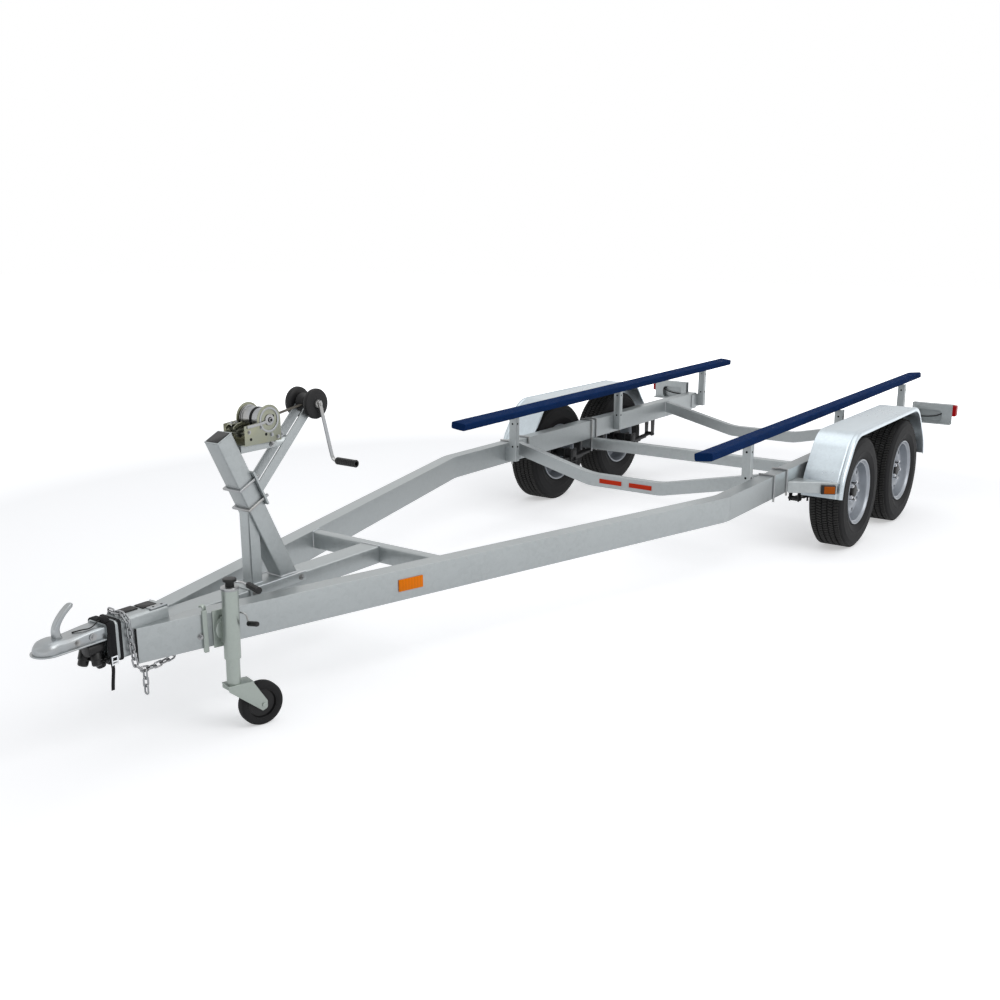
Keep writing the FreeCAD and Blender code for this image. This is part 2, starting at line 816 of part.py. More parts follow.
# Square U-bolts that clamp the members and posts to the rails
bolt_outer_y = rail_outer_y + bolt_rod + seat_gap
bolt_inner_y = rail_inner_y - bolt_rod - seat_gap
rail_bolts = []
bolt_top_z = rail_top + bolt_rod + seat_gap
for index, x in enumerate((cross_front_x - bolt_behind, cross_front_x + bolt_ahead)):
    rail_bolts.append(staple(f"rail_bolt_{index}", "YZ", bolt_rod, bolt_inner_y, bolt_outer_y,
                             rail_low - bolt_tail, bolt_top_z, x))
for index, offset in enumerate((-1, 1)):
    x = cross_middle_x + offset * (cross_depth / 2 + bolt_rod + seat_gap)
    rail_bolts.append(staple(f"member_bolt_{index}", "YZ", bolt_rod, bolt_inner_y, bolt_outer_y,
                             rail_low - cross_height - bolt_tail, bolt_top_z, x))
both_sides("rail_u_bolts", rail_bolts)


# Running gear
def wheel_name(x_word, y_word):
    return f"wheel_{x_word}_{y_word}"


def tyre(name):
    """Tread with bevelled shoulders, and side walls that slope in to the rim's flanges."""
    half = tyre_width / 2
    seat = rim_width / 2 - flange_thick - seat_gap
    body = many_sided(name + "_body", tyre_sides, tyre_radius, -half, tyre_width,
                      half - tread_width / 2, tyre_shoulder)
    bore = many_sided(name + "_bore", rim_sides, barrel_radius + seat_gap, -half, tyre_width)
    depth = half - seat
    slope = mouth_radius - rim_radius - bead_step
    mouths = [
        many_sided(name + "_mouth_near", rim_sides, mouth_radius, seat, depth, depth - 2, slope, (1,)),
        many_sided(name + "_mouth_far", rim_sides, mouth_radius, -half, depth, depth - 2, slope, (2,)),
    ]
    return cut(name, body, group(name + "_openings", [bore] + mouths))


def rim(name):
    """Barrel with two flanges and a dished face whose crest stands round the hub's pocket."""
    edge = rim_width / 2
    past = 2 * edge
    inner = barrel_radius - barrel_wall
    barrel = many_sided(name + "_barrel", rim_sides, barrel_radius, -edge, rim_width)
    flanges = [many_sided(f"{name}_flange_{word}", rim_sides, rim_radius, start, flange_thick)
               for word, start in (("near", edge - flange_thick), ("far", -edge))]
    front = many_sided(name + "_front", rim_sides, inner, dish_rim, past)
    rear = many_sided(name + "_rear", rim_sides, inner, dish_face - barrel_wall - past, past)
    turned = cut(name + "_turned", fuse(name + "_outer", [barrel] + flanges),
                 group(name + "_hollows", [front, rear]))
    crest = many_sided(name + "_crest", rim_sides, crest_radius, dish_rim - barrel_wall,
                       crest_height - dish_rim + barrel_wall, crest_height - dish_rim, crest_slope, (2,))
    pocket = many_sided(name + "_pocket", rim_sides, pocket_radius, dish_face, past,
                        crest_height - dish_face, crest_slope, (1,))
    centre = many_sided(name + "_centre", rim_sides, cap_radius + cap_room, -edge, rim_width)
    return cut(name, fuse(name + "_dished", [turned, crest]), group(name + "_cuts", [pocket, centre]))


def hub(name):
    """Hub with its flange behind the wheel's face, the dust cap and five nuts."""
    flange_end = dish_face - barrel_wall - seat_gap
    flange_start = flange_end - hub_flange_thick
    drum = many_sided(name + "_drum", hub_sides, hub_radius, -hub_depth, hub_depth + flange_start)
    flange = many_sided(name + "_flange", hub_sides, hub_flange, flange_start, hub_flange_thick)
    cap = many_sided(name + "_cap", hub_sides, cap_radius, flange_end, cap_reach - flange_end,
                     cap_bevel, cap_bevel, (2,))
    bore = rod(name + "_bore", spindle_radius + spindle_play, spindle_length, 0, -hub_depth - 2, 0, ALONG_Y)
    nuts = []
    for index in range(5):
        angle = math.radians(72 * index + 18)
        nuts.append(bar(f"{name}_nut_{index}", 6, nut_radius, nut_height, nut_circle * math.cos(angle),
                        dish_face + seat_gap, nut_circle * math.sin(angle), ALONG_Y))
    return [cut(name + "_bored", fuse(name + "_body", [drum, flange, cap]), bore)] + nuts


stub_start = wheel_y - spindle_length
for x_word, x_side in (("front", 1), ("rear", -1)):
    axle_x = axle_half * x_side
    height = wheel_z(axle_x)
    for y_word, y_side in (("left", 1), ("right", -1)):
        name = wheel_name(x_word, y_word)
        pieces = {"tyre": [tyre(name + "_tyre_form")], "rim": [rim(name + "_rim_form")],
                  "hub": hub(name + "_hub_form")}
        for word, solids in pieces.items():
            if y_side < 0:
                solids = [mirrored(f"{name}_{word}_turned_{index}", part)
                          for index, part in enumerate(solids)]
            seated = place(group(f"{name}_{word}_seated", solids), axle_x, wheel_y * y_side, height)
            node(f"{name}_{word}", [seated])
    beam = block(f"axle_{x_word}_stub", axle_size, stub_start - rail_inner_y, axle_size,
                 axle_x - axle_size / 2, rail_inner_y, height - axle_size / 2)
    spindle = bar(f"axle_{x_word}_spindle", pin_sides, spindle_radius, spindle_length, axle_x, stub_start,
                  height, ALONG_Y)
    both_sides("axle_" + x_word, [fuse(f"axle_{x_word}_solid", [beam, spindle])])


# The rising leaves clear the axle's edges
spring_seat = leaf_slope * axle_size / 2 + seat_gap
leaf_stretch = root(1 + leaf_slope * leaf_slope)


def leaf_spring(name, axle_x):
    """Three nested leaves slung under the axle, the longest with an eye at each end."""
    centre_z = wheel_z(axle_x) - axle_size / 2 - spring_seat
    start_y = spring_y - spring_width / 2
    solids = []
    for index in range(3):
        reach = leaf_reach - leaf_step * index
        lines = []
        for depth in (index, index + 1):
            low_z = centre_z - depth * leaf_thick * leaf_stretch
            lines.append([(axle_x - reach, low_z + leaf_slope * reach), (axle_x, low_z),
                          (axle_x + reach, low_z + leaf_slope * reach)])
        solids.append(slab(f"{name}_leaf_{index}", "XZ", lines[0] + lines[1][::-1], start_y, spring_width))
    eye_z = centre_z + leaf_slope * leaf_reach - leaf_thick / 2
    bores = []
    for index, side in enumerate((-1, 1)):
        eye_x = axle_x + side * leaf_reach
        solids.append(bar(f"{name}_eye_{index}", 8, eye_radius, spring_width, eye_x, start_y, eye_z,
                          ALONG_Y))
        bores.append(bar(f"{name}_bore_{index}", 6, hanger_pin + seat_gap, spring_width, eye_x,
                         start_y, eye_z, ALONG_Y))
    return cut(name + "_bored", fuse(name, solids), group(name + "_bores", bores)), eye_z


front_spring, front_eye_z = leaf_spring("spring_front", axle_half)
rear_spring, rear_eye_z = leaf_spring("spring_rear", -axle_half)
both_sides("leaf_springs", [front_spring, rear_spring])

cheek_gap = spring_width / 2 + 1
pin_half = cheek_gap + hanger_plate + pin_tail


def hanger(name, x, eye_z):
    """Two cheeks under the rail with the pin of a spring eye between them."""
    half = eye_radius + hanger_plate
    foot = half + cheek_foot
    low_z = eye_z - eye_radius
    points = [(x - foot, rail_low), (x - half, low_z), (x + half, low_z), (x + foot, rail_low)]
    cheeks = [slab(f"{name}_cheek_{index}", "XZ", points, y, hanger_plate)
              for index, y in enumerate((spring_y + cheek_gap, spring_y - cheek_gap - hanger_plate))]
    pin = bar(name + "_pin", 6, hanger_pin, 2 * pin_half, x, spring_y - pin_half, eye_z, ALONG_Y)
    return fuse(name, cheeks + [pin])


def equaliser():
    """A rocking bar between the two springs, on a pin under the rail."""
    reach = axle_half - leaf_reach
    middle_z = (front_eye_z + rear_eye_z) / 2
    tilt = (front_eye_z - rear_eye_z) / (2 * reach)
    end = reach + eye_radius
    fall = end * tilt
    top = eye_radius - rocker_rise
    points = [(-end, middle_z - fall - eye_radius), (0, middle_z - eye_radius - pin_tail),
              (end, middle_z + fall - eye_radius), (end, middle_z + fall + top),
              (0, middle_z + eye_radius), (-end, middle_z - fall + top)]
    bars = [slab(f"equaliser_bar_{index}", "XZ", points, y, hanger_plate)
            for index, y in enumerate((spring_y + cheek_gap, spring_y - cheek_gap - hanger_plate))]
    pins = [bar(f"equaliser_pin_{index}", 6, hanger_pin, 2 * pin_half, x, spring_y - pin_half, z,
                ALONG_Y)
            for index, (x, z) in enumerate(((reach, front_eye_z), (0, middle_z), (-reach, rear_eye_z)))]
    post = block("equaliser_post", 2 * eye_radius, 2 * cheek_gap, rail_low - middle_z + eye_radius,
                 -eye_radius, spring_y - cheek_gap, middle_z - eye_radius)
    return fuse("equaliser", bars + pins + [post])


def axle_clamp(name, axle_x):
    """A plate under the springs and two U-bolts that hold it to the axle."""
    middle_z = wheel_z(axle_x)
    plate_high = middle_z - axle_size / 2 - spring_seat - 3 * leaf_thick * leaf_stretch - seat_gap
    plate_low = plate_high - hanger_plate
    half_bar = clamp_bar / 2
    reach = axle_size / 2 + half_bar + seat_gap
    plate = block(name + "_plate", 2 * reach + 2 * clamp_bar, rail_width, hanger_plate,
                  axle_x - reach - clamp_bar, rail_inner_y, plate_low)
    bolts = []
    for index, side in enumerate((-1, 1)):
        y = spring_y + side * (spring_width / 2 + half_bar + seat_gap)
        bolts.append(staple(f"{name}_bolt_{index}", "XZ", half_bar, axle_x - reach, axle_x + reach,
                            plate_low - clamp_tail, middle_z + axle_size / 2 + half_bar + seat_gap, y))
    return fuse(name, [plate] + bolts)


both_sides("spring_hangers", [
    axle_clamp("clamp_front", axle_half),
    axle_clamp("clamp_rear", -axle_half),
    hanger("hanger_front", axle_half + leaf_reach, front_eye_z),
    hanger("hanger_rear", -axle_half - leaf_reach, rear_eye_z),
    equaliser(),
])

# Fenders: rolled sheet over both wheels with a beaded edge
def fender():
    flat = fender_half - fender_fall
    knee_x = fender_half - fender_knee
    knee_z = fender_low + fender_knee_rise
    line = [(-fender_half, fender_low), (-knee_x, knee_z), (-flat, fender_top), (flat, fender_top),
            (knee_x, knee_z), (fender_half, fender_low)]
    under = inset(line, fender_sheet)
    rounds = {1: fender_bow, 2: fender_round, 3: fender_round, 4: fender_bow,
              7: fender_bow - fender_sheet, 8: fender_round - fender_sheet,
              9: fender_round - fender_sheet, 10: fender_bow - fender_sheet}
    sheet_width = fender_outer_y - fender_inner_y
    top = slab("fender_top", "XZ", line + under[::-1], fender_inner_y, sheet_width, rounds)
    deep = inset(line, fender_sheet + 2 * fender_lip)
    lip_rounds = dict(rounds)
    for corner, turn_radius in ((7, fender_bow), (8, fender_round), (9, fender_round), (10, fender_bow)):
        lip_rounds[corner] = turn_radius - fender_sheet - 2 * fender_lip
    lip = slab("fender_lip", "XZ", line + deep[::-1], fender_outer_y - fender_sheet, fender_sheet,
               lip_rounds)
    return fuse("fender", [top, lip])


on_both_sides("fender", [fender()])


def fender_bracket(name, side):
    """A gusset from the rail to the outer corner of a fender's end."""
    rear_x = (fender_half + seat_gap) * side
    tip_y = fender_outer_y - bar_short
    points = [(rear_x, rail_outer_y), (rear_x + bar_lead * side, rail_outer_y),
              (rear_x + bar_tip * side, tip_y), (rear_x, tip_y)]
    return slab(name, "XY", points, bar_low, fender_bar)


both_sides("fender_brackets", [fender_bracket("bracket_front", 1), fender_bracket("bracket_rear", -1)])
bracket_run = bar_lead - bar_tip
bracket_span = fender_outer_y - bar_short - rail_outer_y
marker_form = block("marker_form", lamp_depth, marker_length, marker_height, seat_gap,
                    -marker_length - bar_tip, 0)
marker = turn(group("marker_lamp", [marker_form]), ALONG_Z, slope_angle(bracket_run / bracket_span))
place(marker, fender_half + seat_gap + bar_tip, fender_outer_y - bar_short, bar_low)
both_sides("side_marker_lamps", [marker])

# Tail lamp brackets behind the fenders: a front sheet with an opening, a top and a rear sheet
lamp_inner_y = tail_outer_y - tail_lamp_inside
tail_plate = slab("tail_plate", "XZ", [
    (tail_x, tail_low), (tail_x + tail_shelf, tail_low), (tail_x + tail_shelf, tail_low + post_wall),
    (tail_x + post_wall, tail_low + post_wall), (tail_x + post_wall, tail_high),
    (tail_x - tail_shelf, tail_high), (tail_x - tail_shelf, tail_high - post_wall),
    (tail_x, tail_high - post_wall)], rail_outer_y, tail_outer_y - rail_outer_y)
tail_back = block("tail_back", post_wall, lamp_inner_y - seat_gap - rail_outer_y,
                  tail_high - tail_low - tail_shelf, tail_x - tail_shelf, rail_outer_y,
                  tail_low + tail_shelf)
slot_low = tail_low + 2 * post_wall
slot_high = tail_high - slot_below
slot_outer_y = tail_outer_y - slot_inset
slot_inner_y = rail_outer_y + tail_shelf
slot = slab("tail_slot", "YZ", [
    (slot_inner_y, slot_low), (slot_outer_y, slot_low), (slot_outer_y, slot_high),
    (slot_inner_y, slot_high)], tail_x - post_wall, 3 * post_wall, {1: slot_round, 2: slot_round})
both_sides("tail_brackets", [cut("tail_bracket", fuse("tail_sheets", [tail_plate, tail_back]), slot)])
lamp_outer_y = tail_outer_y + tail_lamp_outside
lamp_low = tail_high - post_wall - tail_lamp_height
tail_lamp = slab("tail_lamp", "YZ", [
    (lamp_inner_y, lamp_low), (lamp_outer_y, lamp_low), (lamp_outer_y, tail_high - post_wall),
    (lamp_inner_y, tail_high - post_wall)], tail_x - tail_lamp_depth, tail_lamp_depth,
    {1: tail_lamp_round, 2: tail_lamp_round})
both_sides("tail_lamps", [tail_lamp])


# Reflectors
def side_reflector():
    plate = block("side_reflector_plate", reflector_length, reflector_thick, reflector_height,
                  -reflector_length / 2, 0, -reflector_height / 2)
    turned = turn(group("side_reflector", [plate]), ALONG_Z, rail_turn)
    return place(turned, reflector_x, rail_face_y(reflector_x), (rail_top + rail_low) / 2)


both_sides("side_reflectors", [side_reflector()])
strip_z = rail_top - cross_end_drop - cross_dip - cross_height / 2 - strip_height / 2
strip_x = cross_front_x + cross_depth / 2
strips = [
    block("strip_left", lens_thick, strip_length, strip_height, strip_x,
          strip_side + strip_gap / 2, strip_z),
    block("strip_right", lens_thick, strip_length, strip_height, strip_x,
          strip_side - strip_gap / 2 - strip_length, strip_z),
]
node("front_reflectors", strips)

# Winch post: a leaning square tube on a saddle plate over the tongue
foot_top = tongue_top + foot_plate
lean = sine(post_lean), cosine(post_lean)


def along_post(distance, ahead):
    """A point of the post's plane: so far up its axis and so far ahead of it."""
    x = post_foot_x + distance * lean[0] + ahead * lean[1]
    z = foot_top + distance * lean[1] - ahead * lean[0]
    return x, z


def leaning_bar(name, half, start, end, trimmed=True):
    """A bar along the post's axis whose foot is cut level with the saddle plate."""
    reach = half * lean[0] / lean[1] if trimmed else as_size(0)
    points = [along_post(start - reach, -half), along_post(end, -half), along_post(end, half),
              along_post(start + reach, half)]
    return slab(name, "XZ", points, -half, 2 * half)


post_half = post_size / 2
post_solid = leaning_bar("winch_post_solid", post_half, as_size(0), post_length)
post_void = leaning_bar("winch_post_void", post_half - tube_wall, -post_size, post_length + cap_sheet, False)

strut_block = block("strut_block", strut_size, strut_size, post_length / 2, strut_x - strut_size / 2,
                    -strut_size / 2, foot_top)
strut_core = block("strut_core", strut_size - 2 * tube_wall, strut_size - 2 * tube_wall,
                   post_length / 2, strut_x - strut_size / 2 + tube_wall,
                   -strut_size / 2 + tube_wall, foot_top)
past_post = 2 * post_size
strut_limit = slab("strut_limit", "XZ", [
    along_post(-past_post, -past_post), along_post(post_length, -past_post),
    along_post(post_length, post_half), along_post(-past_post, post_half)], -post_size, 2 * post_size)
node("winch_post", [cut("winch_post_tube", post_solid, post_void),
                    cut("strut", cut("strut_tube", strut_block, strut_core), strut_limit)])

saddle_x = post_foot_x - foot_behind
saddle = block("saddle_top", foot_length, tongue_width + 2 * foot_plate, foot_plate, saddle_x,
               -tongue_side - foot_plate, tongue_top)
saddle_sides = [block(f"saddle_side_{index}", foot_length, foot_plate, foot_skirt, saddle_x, y,
                      tongue_top - foot_skirt)
                for index, y in enumerate((-tongue_side - foot_plate, tongue_side))]
node("winch_post_saddle", [fuse("saddle", [saddle] + saddle_sides)])

cap_points = [along_post(post_length, -post_half), along_post(post_length + cap_sheet, -post_half),
              along_post(post_length + cap_sheet, post_half), along_post(post_length, post_half)]
node("winch_post_cap", [slab("post_cap", "XZ", cap_points, -post_half, post_size)])

# Winch stand: clamp plate behind the post, two arms to the roller and a shelf for the winch
rear_face = -post_half


def stand():
    low = clamp_along - clamp_length / 2
    high = clamp_along + clamp_length / 2
    clamp = slab("clamp_back", "XZ", [
        along_post(low, rear_face - clamp_plate), along_post(high, rear_face - clamp_plate),
        along_post(high, rear_face), along_post(low, rear_face)], -clamp_width / 2, clamp_width)
    foot_x, foot_z = along_post(clamp_along - arm_below, rear_face - clamp_plate / 2)
    run_x = roller_x - foot_x
    run_z = roller_z - foot_z
    length = root(run_x * run_x + run_z * run_z)
    side_x = run_z / length * arm_width / 2
    side_z = run_x / length * arm_width / 2
    tip_x = roller_x + run_x / length * (arm_width / 2)
    tip_z = roller_z + run_z / length * (arm_width / 2)
    points = [(foot_x - side_x, foot_z + side_z), (foot_x + side_x, foot_z - side_z),
              (tip_x + side_x, tip_z - side_z), (tip_x - side_x, tip_z + side_z)]
    arms = [slab(f"arm_{index}", "XZ", points, y, arm_thick,
                 {2: arm_tip_round, 3: arm_tip_round})
            for index, y in enumerate((arm_y - arm_thick / 2, -arm_y - arm_thick / 2))]
    shelf_rear_x = roller_x + shelf_behind
    shelf = block("shelf", winch_front_x - shelf_rear_x, 2 * arm_y, shelf_height, shelf_rear_x,
                  -arm_y, shelf_z)
    bore = rod("arm_bore", roller_shaft + spindle_play, 4 * arm_y, roller_x, -2 * arm_y, roller_z, ALONG_Y)
    leg_holes = []
    for index, distance in enumerate((clamp_along - clamp_spread / 2, clamp_along + clamp_spread / 2)):
        x, z = along_post(distance, rear_face - 2 * clamp_plate)
        reach = post_half + clamp_rod + seat_gap
        hole = clamp_rod + seat_gap
        holes = [block(f"leg_hole_{index}_{side}", 3 * clamp_plate, 2 * hole, 2 * hole, 0, y - hole, -hole)
                 for side, y in enumerate((-reach, reach))]
        leaning = turn(group(f"leg_holes_{index}", holes), ALONG_Y, post_lean)
        leg_holes.append(place(leaning, x, 0, z))
    behind = slab("stand_limit", "XZ", [
        along_post(-past_post, rear_face), along_post(post_length, rear_face),
        along_post(post_length, past_post), along_post(-past_post, past_post)],
        -clamp_width, 2 * clamp_width)
    welded = fuse("stand_welded", [clamp, shelf] + arms)
    return cut("stand", cut("stand_bored", welded, group("stand_holes", [bore] + leg_holes)), behind)


node("winch_stand", [stand()])


def clamp_bolt(name, distance):
    """A square U-bolt round the post, its legs through the clamp plate."""
    reach = post_half + clamp_rod + seat_gap
    back = rear_face - clamp_plate - bolt_tail
    radius = clamp_rod
    points = [(back, -reach - radius), (reach + radius, -reach - radius), (reach + radius, reach + radius),
              (back, reach + radius), (back, reach - radius), (reach - radius, reach - radius),
              (reach - radius, radius - reach), (back, radius - reach)]
    bar = slab(name + "_bar", "XY", points, -radius, 2 * radius)
    leaning = turn(group(name, [bar]), ALONG_Y, post_lean)
    x, z = along_post(distance, 0)
    return place(leaning, x, 0, z)


node("winch_clamp_bolts", [clamp_bolt("clamp_bolt_low", clamp_along - clamp_spread / 2),
                           clamp_bolt("clamp_bolt_high", clamp_along + clamp_spread / 2)])

# Bow roller with its shaft and the crank on the near end
disc_start = arm_y + arm_thick / 2 + roller_gap
disc_end = disc_start + roller_disc
spool_half = arm_y - arm_thick / 2 - roller_gap
flare = spool_half / 2
roller_form = fuse("roller_form", [
    bar("roller_spindle", pin_sides, roller_shaft, 2 * disc_end, 0, -disc_end, 0, ALONG_Y),
    many_sided("roller_spool", roller_sides, roller_waist, -spool_half, 2 * spool_half),
    many_sided("roller_flare_near", roller_sides, roller_flare, spool_half - flare, flare,
               flare - roller_edge, roller_flare - roller_waist, (1,)),
    many_sided("roller_flare_far", roller_sides, roller_flare, -spool_half, flare,
               flare - roller_edge, roller_flare - roller_waist, (2,)),
    many_sided("roller_disc_near", roller_sides, roller_radius, disc_start, roller_disc, roller_edge,
               roller_edge),
    many_sided("roller_disc_far", roller_sides, roller_radius, -disc_end, roller_disc, roller_edge,
               roller_edge),
])
node("bow_roller", [place(group("roller_seated", [roller_form]), roller_x, 0, roller_z)])

crank_y = disc_end + crank_step
crank_hub = bar("crank_hub", 10, crank_boss, crank_step + crank_rod, 0, disc_end, 0, ALONG_Y)
crank_arm = bar("crank_arm", 8, crank_rod, crank_reach, 0, crank_y, 0, -ALONG_Z)
crank_pin = bar("crank_pin", 8, crank_rod - 2, crank_neck, 0, crank_y, -crank_reach, ALONG_Y)
crank_steel = turn(group("crank_steel", [fuse("crank_iron", [crank_hub, crank_arm, crank_pin])]),
                   ALONG_Y, crank_swing)
crank_grip = bar("crank_grip_form", 12, grip_radius, grip_length, 0, crank_y + crank_neck, -crank_reach,
                 ALONG_Y)
crank_rubber = turn(group("crank_rubber", [crank_grip]), ALONG_Y, crank_swing)
node("crank", [place(group("crank_seated", [crank_steel]), roller_x, 0, roller_z)])
node("crank_grip", [place(group("crank_grip_seated", [crank_rubber]), roller_x, 0, roller_z)])

# Winch: two side plates on the shelf with the drum between them
drum_z = shelf_z + shelf_height + winch_rise
winch_floor = shelf_z + shelf_height


winch_back_x = winch_x - winch_plate_round


def winch_side(word, y):
    """A side plate: a foot with a slanted top edge and a disc round the drum's axle."""
    points = [(winch_back_x, winch_floor), (winch_front_x, winch_floor),
              (winch_front_x, winch_floor + winch_edge), (winch_x, drum_z), (winch_back_x, drum_z)]
    disc_form = many_sided(f"winch_disc_{word}", winch_sides, winch_plate_round, y, winch_plate)
    disc_seat = place(group(f"winch_disc_{word}_seat", [disc_form]), winch_x, 0, drum_z)
    return [slab(f"winch_foot_{word}", "XZ", points, y, winch_plate), disc_seat]


def bevelled_box(name, low_x, high_x, low_z, high_z, start_y, width, corner):
    """A box with its four long edges cut off."""
    points = [(low_x + corner, low_z), (high_x - corner, low_z), (high_x, low_z + corner),
              (high_x, high_z - corner), (high_x - corner, high_z), (low_x + corner, high_z),
              (low_x, high_z - corner), (low_x, low_z + corner)]
    return slab(name, "XZ", points, start_y, width)


winch_parts = winch_side("near", winch_near_y) + winch_side("far", winch_far_y)
winch_parts.append(block("winch_base", winch_front_x - winch_back_x, winch_near_y - winch_far_y,
                         winch_plate, winch_back_x, winch_far_y, winch_floor))
gear_low = winch_floor + winch_edge / 2
winch_parts.append(bevelled_box("winch_gear_case", winch_front_x - gear_depth, winch_front_x + gear_ahead,
                                gear_low, winch_floor + winch_edge + gear_ahead,
                                winch_far_y + winch_plate - seat_gap, gear_width, gear_ahead / 2))
winch_bore = rod("winch_bore", roller_shaft + spindle_play, 4 * winch_near_y, winch_x, -2 * winch_near_y,
                 drum_z, ALONG_Y)
node("winch_frame", [cut("winch_frame_bored", fuse("winch_sides", winch_parts), winch_bore)])
drum_near = winch_near_y - drum_play
drum_far = winch_far_y + winch_plate + drum_play
drum_form = fuse("drum_form", [
    bar("drum_shaft", pin_sides, roller_shaft, winch_near_y - winch_far_y + winch_plate + 2 * drum_end, 0,
        winch_far_y - drum_end, 0, ALONG_Y),
    many_sided("drum_barrel", drum_sides, drum_radius, drum_far, drum_near - drum_far),
    many_sided("drum_flange_far", drum_sides, drum_flange, drum_far, drum_flange_thick),
    many_sided("drum_flange_near", drum_sides, drum_flange, drum_near - drum_flange_thick,
               drum_flange_thick),
])
node("winch_drum", [place(group("drum_seated", [drum_form]), winch_x, 0, drum_z)])

# The short strap from the drum to the roller, clear of both
strap_start_x = winch_x - drum_radius - seat_gap
strap_end_x = roller_x + roller_waist + seat_gap
band = slab("winch_band", "XZ", [
    (strap_end_x, roller_z - band_drop), (strap_start_x, drum_z - band_drop),
    (strap_start_x, drum_z - band_drop + band_thick), (strap_end_x, roller_z - band_drop + band_thick)],
    -band_width / 2, band_width)
node("winch_strap", [band])

# Coupler: a pressed channel that ends in the ball housing, with flanges along its foot
coupler_high = head_high - head_wall - head_round / 2
coupler_rear = head_front_x - coupler_inset
coupler_width = tongue_width - 2 * head_wall - 2 * seat_gap
slope_start = head_front_x + coupler_slope_x
slope_fall = coupler_drop / (ball_x - slope_start)


def coupler_top(x):
    """Height of the coupler's sloping top."""
    return coupler_high - slope_fall * (x - slope_start)


def coupler():
    half = coupler_width / 2
    top = slab("coupler_top", "XZ", [
        (coupler_rear, coupler_low), (ball_x, coupler_low), (ball_x, coupler_top(ball_x)),
        (slope_start, coupler_high), (coupler_rear, coupler_high)], -half, coupler_width)
    nose = rod("coupler_nose", nose_radius, coupler_top(ball_x) - coupler_low, ball_x, 0, coupler_low)
    wide = flange_width / 2
    flange = slab("coupler_flange", "XY", [
        (head_front_x + 2, -wide), (ball_x, -wide), (ball_x, wide), (head_front_x + 2, wide)],
        coupler_low, coupler_wall)
    flange_nose = rod("coupler_flange_nose", wide, coupler_wall, ball_x, 0, coupler_low)
    hollow = block("coupler_hollow", ball_x - coupler_rear - socket_wall, coupler_width - 2 * coupler_wall,
                   coupler_top(ball_x) - 2 * coupler_wall - coupler_low, coupler_rear,
                   -half + coupler_wall, coupler_low)
    socket = rod("coupler_socket", ball_bore, ball_depth, ball_x, 0, coupler_low)
    return cut("coupler_solid", fuse("coupler_shell", [top, nose, flange, flange_nose]),
               group("coupler_inside", [hollow, socket]))


node("coupler", [coupler()])
lever_foot = ball_x - lever_back_x
lever_front = lever_foot + lever_heel
lever_back = lever_foot - lever_sole
tip_x = lever_foot - lever_sweep
tip_round = lever_tip / 2 + 1
lever = slab("lever", "XZ", [
    (lever_front, coupler_top(lever_front) + seat_gap), (lever_foot, coupler_high + lever_knee),
    (tip_x, coupler_high + lever_rise), (tip_x - lever_tip, coupler_high + lever_rise - lever_tip),
    (lever_back, coupler_high + lever_knee - lever_heel),
    (lever_back, coupler_top(lever_back) + seat_gap)],
    -lever_width / 2, lever_width, {1: lever_width, 2: tip_round, 3: tip_round, 4: 2 * tip_round})
node("coupler_lever", [lever])

# Strap round the drawbar head and the light plugs that hang under the coupler
strap_x = head_front_x - strap_width - strap_thick


def strap():
    """A band round the drawbar head with its corners laid over the head's rounds."""
    def ring(name, gap, corner):
        side = tongue_side + gap
        low = head_low - gap
        high = head_high + gap
        points = [(corner - side, low), (side - corner, low), (side, low + corner), (side, high - corner),
                  (side - corner, high), (corner - side, high), (-side, high - corner),
                  (-side, low + corner)]
        return slab(name, "YZ", points, strap_x, strap_width)
    inner = ring("strap_inner", seat_gap, head_round / 2)
    outer = ring("strap_outer", seat_gap + strap_thick, (head_round + strap_thick) / 2)
    return cut("strap", outer, inner)


node("cable_strap", [strap()])
plug_z = coupler_low - plug_radius - seat_gap
plug_x = head_front_x + plug_gap
plugs = [bar("plug_near", 12, plug_radius, plug_length, plug_x, plug_radius, plug_z, ALONG_X),
         bar("plug_far", 12, plug_radius, plug_length - 2 * plug_gap, plug_x, -plug_radius - seat_gap,
             plug_z, ALONG_X)]
node("light_plugs", plugs)

# Safety chain: from a staple on the head, over its near edge, down and back to a staple under the
# rail, and three links that hang from it. Each link is turned a quarter from the one before.
chain_start = (head_rear_x + chain_along, tongue_side - chain_back, head_high + chain_lift)
# Each link's turn back along the trailer and its fall from level, in degrees
CHAIN_TURNS = [(0, 0), (0, 0), (0, 0), (0, 45), (4, 90), (5, 90), (5, 90), (5, 90), (5, 90), (12, 90),
               (45, 90), (78, 90), (91, 90), (94, 90), (98, 90), (102, 90)]
HANGING_FROM = 11


def chain_directions():
    """Unit direction and the side normal of each link on the way from staple to staple."""
    found = []
    for back, fall in CHAIN_TURNS:
        fall = math.radians(fall)
        back = math.radians(back)
        ahead = FreeCAD.Vector(-math.sin(back), math.cos(fall) * math.cos(back),
                               -math.sin(fall) * math.cos(back))
        found.append(ahead.normalize())
    return found


def chain_link():
    """An eight-cornered link along X that lies in the XY plane."""
    def ring(name, reach, half, corner):
        points = [(-reach + corner, -half), (reach - corner, -half), (reach, -half + corner),
                  (reach, half - corner), (reach - corner, half), (-reach + corner, half),
                  (-reach, half - corner), (-reach, -half + corner)]
        return slab(name, "XY", points, -link_wire / 2, link_wire)
    reach = link_length / 2
    half = link_width / 2
    return cut("link", ring("link_outer", reach, half, half / 2),
               ring("link_inner", reach - link_wire, half - link_wire, (half - link_wire) / 2))


link = chain_link()


